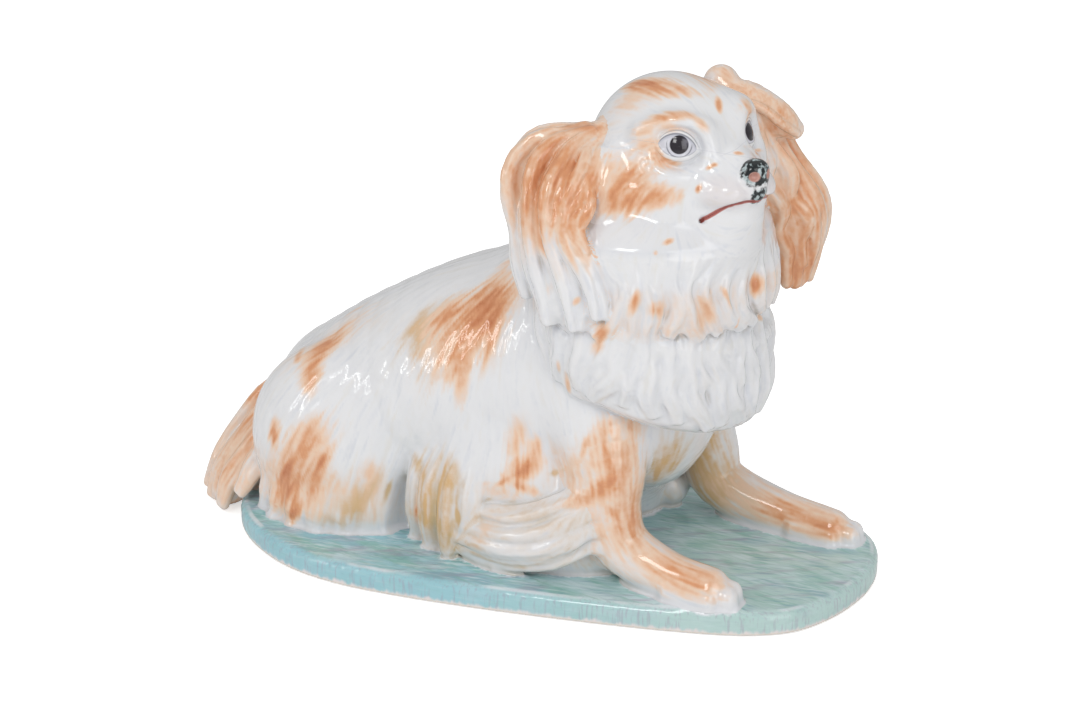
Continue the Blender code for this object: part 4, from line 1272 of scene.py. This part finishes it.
# Effects shared by the materials
glazeColors = {
    "white": (0.81, 0.81, 0.82, 1),
    "poolAndShade": (0.60, 0.63, 0.70, 1),  # where the glaze lies thick, and painted shade in the grooves
    "grooveShade": (0.56, 0.51, 0.43, 1),  # painted shade deep in the grooves, a warm grey-brown
    "cream": (0.76, 0.71, 0.61, 1),
    "peach": (0.84, 0.600, 0.440, 1),
    "orange": (0.730, 0.352, 0.181, 1),
    "rust": (0.552, 0.188, 0.080, 1),
    "ochre": (0.672, 0.429, 0.205, 1),
    "olive": (0.52, 0.47, 0.32, 1),
}


def makeGlazeWaver():  # the glaze's slow swell, its pinholes and its uneven shine
    inputs = {"Place": ("Vector", None), "Swell": ("Float", 1.0), "Shine": ("Float", 0.06)}
    group, given, result = makeGroup("glazeWaver", inputs, {"Height": "Float", "Roughness": "Float"})
    slow = noiseOf(group, given["Place"], 9.0, 1.0)
    skinNoise = noiseOf(group, given["Place"], 1.1, 2.0)
    pits = rise(group, noiseOf(group, given["Place"], 0.9, 1.0), 0.74, 0.80)
    height = reckon(group, "MULTIPLY_ADD", skinNoise, 0.10, slow)
    height = reckon(group, "MULTIPLY_ADD", pits, -0.25, height)
    group.links.new(reckon(group, "MULTIPLY", height, given["Swell"]), result["Height"])
    group.links.new(reckon(group, "MULTIPLY_ADD", skinNoise, 0.07, given["Shine"]), result["Roughness"])
    return group


def makeBrushedEnamel():  # iron red and ochre washed over the white glaze, with the brush's own marks
    inputs = {"Place": ("Vector", None), "Rust": ("Float", 0.0), "Ochre": ("Float", 0.0),
              "Stroke": ("Float", 0.5), "Hollow": ("Float", 0.0)}
    group, given, result = makeGroup("brushedEnamel", inputs, {"Color": "Color"})
    cloud = noiseOf(group, given["Place"], 2.6, 4.0)
    grit = noiseOf(group, given["Place"], 0.45, 2.0)
    uneven = reckon(group, "MULTIPLY_ADD", cloud, 0.40, 0.50)
    uneven = reckon(group, "MULTIPLY_ADD", grit, 0.15, uneven)
    uneven = reckon(group, "MULTIPLY_ADD", given["Stroke"], 0.42, uneven)
    rust = reckon(group, "MULTIPLY", given["Rust"], uneven, clamp=True)
    ochre = reckon(group, "MULTIPLY", given["Ochre"], uneven, clamp=True)
    c = glazeColors
    creamy = reckon(group, "MULTIPLY", rise(group, given["Stroke"], 0.55, 1.0), 0.30)
    ground = blendColors(group, creamy, c["white"], c["cream"])
    bluish = reckon(group, "MULTIPLY", rise(group, given["Stroke"], 0.45, 0.0), 0.40)
    ground = blendColors(group, bluish, ground, c["poolAndShade"])
    # Painted shade: grooves darken towards the cool grey, partly as glaze lying thick there
    ground = blendColors(group, reckon(group, "MULTIPLY", given["Hollow"], 0.8), ground, c["poolAndShade"])
    # Painted shade: the deepest grooves darken further to a warm grey
    paintedGrooveShade = reckon(group, "MULTIPLY", rise(group, given["Hollow"], 0.35, 0.9), 0.6)
    ground = blendColors(group, paintedGrooveShade, ground, c["grooveShade"])
    stops = [(0.0, c["peach"]), (0.30, c["peach"]), (0.62, c["orange"]), (1.0, c["rust"])]
    red = rampOf(group, rust, stops)
    # Painted shade on the ochre: it turns a darker olive in the grooves
    brown = blendColors(group, given["Hollow"], c["ochre"], c["olive"])
    color = blendColors(group, rise(group, ochre, 0.0, 0.75), ground, brown)
    color = blendColors(group, rise(group, rust, 0.0, 0.34), color, red)
    group.links.new(color, result["Color"])
    return group


glazeWaver = makeGlazeWaver()
brushedEnamel = makeBrushedEnamel()


def startMaterial(name, shine, swell):
    material = bpy.data.materials.new(name)
    material.use_nodes = True
    tree = material.node_tree
    shader = tree.nodes["Principled BSDF"]
    place = addNode(tree, "TexCoord").outputs["Object"]
    waver = useGroup(tree, glazeWaver, {"Place": place, "Swell": swell, "Shine": shine})
    tree.links.new(waver["Roughness"], shader.inputs["Roughness"])
    bump = addNode(tree, "Bump", {"Height": waver["Height"], "Distance": 0.0004, "Strength": 0.35})
    tree.links.new(bump.outputs[0], shader.inputs["Normal"])
    shader.inputs["IOR"].default_value = 1.5
    return material, tree, shader, place


def enamelOn(tree, place):
    sockets = {"Place": place, "Rust": maskOf(tree, "rust"), "Ochre": maskOf(tree, "ochre"),
               "Stroke": maskOf(tree, "stroke"), "Hollow": maskOf(tree, "hollow")}
    return useGroup(tree, brushedEnamel, sockets)["Color"]


def makePorcelain():
    material, tree, shader, place = startMaterial("paintedPorcelain", 0.05, 1.0)
    tree.links.new(enamelOn(tree, place), shader.inputs["Base Color"])
    return material


# The painted face
faceLook = {
    "sclera": tint(214, 214, 222),
    "lidShade": tint(150, 152, 168),
    "line": tint(120, 122, 132),
    "iris": tint(42, 38, 44),
    "irisGlint": tint(92, 90, 104),
    "mouth": tint(176, 96, 88),
    "mouthDeep": tint(128, 66, 62),
    "noseDark": tint(30, 36, 38),
    "noseSilver": tint(176, 190, 192),
    "nostril": tint(196, 150, 138),
    "muzzle": tint(222, 200, 198),
}


def makeEyePaint():
    inputs = {label: ("Vector", None) for label in ("Face", "Centre", "Across", "Up", "Look")}
    for label in ("Width", "Top", "Bottom", "Iris X", "Iris Y", "Iris Size"):
        inputs[label] = ("Float", 1.0)
    inputs["Color"] = ("Color", None)
    group, given, result = makeGroup("eyePaint", inputs, {"Color": "Color"})

    def along(axis):
        sockets = {0: given["Face"], 1: given["Centre"]}
        away = addNode(group, "VectorMath", sockets, operation="SUBTRACT").outputs[0]
        sockets = {0: away, 1: given[axis]}
        return addNode(group, "VectorMath", sockets, operation="DOT_PRODUCT").outputs["Value"]

    u, v, outward = along("Across"), along("Up"), along("Look")
    share = reckon(group, "DIVIDE", u, given["Width"])
    arch = reckon(group, "SUBTRACT", 1, reckon(group, "MULTIPLY", share, share), clamp=True)
    arch = reckon(group, "POWER", arch, 0.72)
    above = reckon(group, "SUBTRACT", v, reckon(group, "MULTIPLY", arch, given["Top"]))
    below = reckon(group, "SUBTRACT", reckon(group, "MULTIPLY", arch, given["Bottom"]), v)
    edge = reckon(group, "MAXIMUM", above, below)  # negative inside the almond
    shown = rise(group, outward, 0.5, 2.0)
    opening = reckon(group, "MULTIPLY", rise(group, edge, 0.12, -0.12), shown)
    aside = reckon(group, "SUBTRACT", u, given["Iris X"])
    raised = reckon(group, "SUBTRACT", v, given["Iris Y"])
    squares = reckon(group, "MULTIPLY_ADD", aside, aside, reckon(group, "MULTIPLY", raised, raised))
    away = reckon(group, "DIVIDE", reckon(group, "SQRT", squares), given["Iris Size"])
    look = faceLook
    shade = reckon(group, "MULTIPLY", rise(group, above, -1.3, 0.0), 0.45)
    white = blendColors(group, shade, look["sclera"], look["lidShade"])
    ring = reckon(group, "MULTIPLY", rise(group, away, 1.22, 1.30), rise(group, away, 1.44, 1.34))
    ring = reckon(group, "MULTIPLY", ring, rise(group, raised, 1.0, -0.4))
    white = blendColors(group, reckon(group, "MULTIPLY", ring, 0.8), white, look["line"])
    glint = reckon(group, "MULTIPLY", rise(group, aside, 0.2, 1.4), rise(group, raised, -1.2, 0.8))
    dark = blendColors(group, reckon(group, "MULTIPLY", glint, 0.6), look["iris"], look["irisGlint"])
    ball = blendColors(group, rise(group, away, 1.04, 0.94), white, dark)
    color = blendColors(group, opening, given["Color"], ball)
    for offset, wide, depth in ((0.02, 0.34, 0.85), (0.85, 0.22, 0.5)):  # the lid's double line
        gap = reckon(group, "ABSOLUTE", reckon(group, "SUBTRACT", above, offset))
        line = reckon(group, "MULTIPLY", rise(group, gap, wide, 0.05), depth)
        line = reckon(group, "MULTIPLY", line, rise(group, arch, 0.0, 0.3))
        line = reckon(group, "MULTIPLY", line, shown)
        color = blendColors(group, line, color, look["line"])
    gap = reckon(group, "ABSOLUTE", below)
    line = reckon(group, "MULTIPLY", rise(group, gap, 0.24, 0.05), rise(group, arch, 0.0, 0.3))
    line = reckon(group, "MULTIPLY", reckon(group, "MULTIPLY", line, 0.4), shown)
    color = blendColors(group, line, color, look["line"])
    group.links.new(color, result["Color"])
    return group


def makePaintedFace():
    material, tree, shader, place = startMaterial("paintedFace", 0.05, 1.0)
    look = faceLook
    eyePaint = makeEyePaint()
    face = maskOf(tree, "face", "Vector")
    color = enamelOn(tree, place)
    mouth, nose, nostril = maskOf(tree, "mouth"), maskOf(tree, "nose"), maskOf(tree, "nostril")
    blush = reckon(tree, "MULTIPLY", rise(tree, maskOf(tree, "muzzle"), 1.25, 0.7), 0.55)
    color = blendColors(tree, blush, color, look["muzzle"])
    sides = (
        (headShape["eyeball"], eyeLook, eyeAcross, eyeUp, 4.9, 3.1, -2.7, (0.45, 0.45)),
        (headShape["farEyeball"], farLook, farAcross, farUp, 4.6, 2.9, -2.6, (-0.2, 0.3)),
    )
    for eye, toward, across, up, width, top, bottom, iris in sides:
        sockets = {"Face": face, "Centre": eye[0], "Across": across, "Up": up, "Look": toward, "Width": width,
                   "Top": top, "Bottom": bottom, "Iris X": iris[0], "Iris Y": iris[1], "Iris Size": 2.4,
                   "Color": color}
        color = useGroup(tree, eyePaint, sockets)["Color"]
    worn = noiseOf(tree, place, 1.5, 4.0)
    patches = rise(tree, worn, 0.50, 0.60)
    metal = blendColors(tree, patches, look["noseDark"], look["noseSilver"])
    ragged = reckon(tree, "MULTIPLY_ADD", worn, 0.35, nose)
    color = blendColors(tree, rise(tree, ragged, 1.30, 1.20), color, metal)
    color = blendColors(tree, rise(tree, nostril, 1.5, 1.15), color, look["nostril"])
    deep = rise(tree, mouth, 0.32, 0.08)
    lips = blendColors(tree, deep, look["mouth"], look["mouthDeep"])
    color = blendColors(tree, rise(tree, mouth, 0.75, 0.40), color, lips)
    tree.links.new(color, shader.inputs["Base Color"])
    return material


# The grassy slab's glaze
slabLook = {
    "turquoise": tint(158, 203, 212),
    "pale": tint(214, 230, 234),
    "green": tint(186, 212, 208),
    "deepGreen": tint(132, 184, 168),
    "blue": tint(118, 158, 178),
    "mauve": tint(164, 148, 172),
    "bare": tint(232, 222, 222),
    "white": tint(232, 234, 238),
}


def makeGrassGlaze():
    material, tree, shader, place = startMaterial("grassGlaze", 0.09, 1.6)
    look = slabLook
    spots = addNode(tree, "SeparateXYZ", {0: place}).outputs
    toRight = reckon(tree, "MULTIPLY_ADD", noiseOf(tree, place, 20, 1.0), 0.05, spots["X"])
    toRight = rise(tree, toRight, 0.0, 0.09)
    ground = blendColors(tree, toRight, look["turquoise"], look["green"])
    marks = (  # color, grain, stretch, direction, first and full, strength
        ("pale", 8.0, (2.2, 1, 1), 0.25, 0.46, 0.70, 0.7),
        ("deepGreen", 6.0, (2.5, 1, 1), -0.35, 0.44, 0.72, 0.6),
        ("blue", 5.0, (3.0, 1, 1), 0.15, 0.50, 0.74, 0.5),
        ("mauve", 3.0, (5.0, 1, 1), 0.50, 0.50, 0.74, 0.55),
        ("deepGreen", 1.1, (10.0, 1, 1), -0.20, 0.48, 0.74, 0.5),
        ("pale", 0.9, (10.0, 1, 1), 0.12, 0.48, 0.74, 0.6),
        ("blue", 0.8, (9.0, 1, 1), 0.30, 0.52, 0.76, 0.5),
    )
    rim = maskOf(tree, "rim")
    level = reckon(tree, "MULTIPLY_ADD", rise(tree, rim, -0.6, -3.0), 0.8, 0.2)
    for label, size, stretch, turn, low, high, depth in marks:
        mark = rise(tree, noiseOf(tree, place, size, 3.0, stretch, turn), low, high)
        mark = reckon(tree, "MULTIPLY", mark, level)
        ground = blendColors(tree, reckon(tree, "MULTIPLY", mark, depth), ground, look[label])
    upright = noiseOf(tree, place, 0.8, 2.0, (1, 1, 8))
    blades = reckon(tree, "MULTIPLY", rise(tree, upright, 0.50, 0.70), rise(tree, rim, -5.0, -1.0))
    ground = blendColors(tree, reckon(tree, "MULTIPLY", blades, 0.35), ground, look["mauve"])
    # Painted highlight: a pale broken line along the rounded top edge of the slab
    rimHighlight = reckon(tree, "MULTIPLY", rise(tree, rim, -3.0, -2.3), rise(tree, rim, -1.2, -1.9))
    rimHighlight = reckon(tree, "MULTIPLY", rimHighlight, rise(tree, noiseOf(tree, place, 14, 2.0), 0.45, 0.60))
    ground = blendColors(tree, reckon(tree, "MULTIPLY", rimHighlight, 0.6), ground, look["white"])
    ragged = reckon(tree, "MULTIPLY_ADD", noiseOf(tree, place, 1.7, 3.0, (1, 1, 4)), 0.003, spots["Z"])
    ground = blendColors(tree, rise(tree, ragged, 0.0034, 0.0020), ground, look["bare"])
    foot = reckon(tree, "MULTIPLY_ADD", noiseOf(tree, place, 1.5, 2.0), -1.6, maskOf(tree, "foot"))
    ground = blendColors(tree, rise(tree, foot, 1.1, 0.1), ground, look["white"])
    under = rise(tree, spots["Z"], 0.0012, 0.0004)
    ground = blendColors(tree, under, ground, tint(226, 218, 208))
    tree.links.new(ground, shader.inputs["Base Color"])
    return material


porcelain, paintedFace, grassGlaze = makePorcelain(), makePaintedFace(), makeGrassGlaze()
chosen = {"head_shell": paintedFace, "base_slab": grassGlaze}
for name, (piece, _, _) in clay.items():
    piece.data.materials.append(chosen.get(name, porcelain))
    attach(piece, "root")
    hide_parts(name)
print("materials:", len(bpy.data.materials))

# Floor, lights and camera
floorMesh = bpy.data.meshes.new("floor")
floorMesh.from_pydata([(-4, -4, 0), (4, -4, 0), (4, 4, 0), (-4, 4, 0)], [], [(0, 1, 2, 3)])
floor = bpy.data.objects.new("floor", floorMesh)
bpy.context.scene.collection.objects.link(floor)
floor.location.z = -0.0002
paper = bpy.data.materials.new("paper")
paper.use_nodes = True
card = paper.node_tree
card.nodes["Principled BSDF"].inputs["Base Color"].default_value = (0.95, 0.95, 0.95, 1)
card.nodes["Principled BSDF"].inputs["Emission Color"].default_value = (1, 1, 1, 1)
lift = reckon(card, "MULTIPLY", addNode(card, "LightPath").outputs["Is Camera Ray"], 0.55)
card.links.new(lift, card.nodes["Principled BSDF"].inputs["Emission Strength"])
floorMesh.materials.append(paper)

world = bpy.data.worlds.new("studio")
bpy.context.scene.world = world
world.use_nodes = True
sky = world.node_tree
seen = addNode(sky, "LightPath").outputs["Is Camera Ray"]
strength = addNode(sky, "Mix", {0: seen, 2: 0.46, 3: 1.0}, data_type="FLOAT").outputs[0]
sky.nodes["Background"].inputs["Color"].default_value = (1, 1, 1, 1)
sky.links.new(strength, sky.nodes["Background"].inputs["Strength"])

studioLamps = {  # place, width and height, power
    "paneBroad": ((-1.10, -1.00, 0.74), (0.09, 1.1), 2.5),
    "paneNarrow": ((-0.97, -1.13, 0.74), (0.045, 1.2), 1.35),
    "key": ((0.05, -1.25, 1.20), (0.45, 0.45), 6.0),
    "fill": ((0.95, -0.60, 0.50), (0.5, 0.9), 3.2),
    "top": ((0.15, 0.40, 1.20), (1.1, 1.1), 1.2),
}
for label, (place, size, power) in studioLamps.items():
    lamp = bpy.data.lights.new(label, "AREA")
    lamp.shape = "RECTANGLE"
    lamp.size, lamp.size_y = size
    lamp.energy = power
    holder = bpy.data.objects.new(label, lamp)
    holder.location = place
    aim = Vector((0, 0, 0.06)) - Vector(place)
    holder.rotation_euler = aim.to_track_quat("-Z", "Y").to_euler()
    bpy.context.scene.collection.objects.link(holder)

lens = bpy.data.cameras.new("camera")
lens.lens = photoCamera["lens"]
lens.sensor_width = photoCamera["film"]
camera = bpy.data.objects.new("camera", lens)
camera.location = cameraPlace
camera.rotation_euler = (photoCamera["aim"] - cameraPlace).to_track_quat("-Z", "Y").to_euler()
bpy.context.scene.collection.objects.link(camera)
bpy.context.scene.camera = camera
bpy.context.scene.view_settings.view_transform = "Standard"
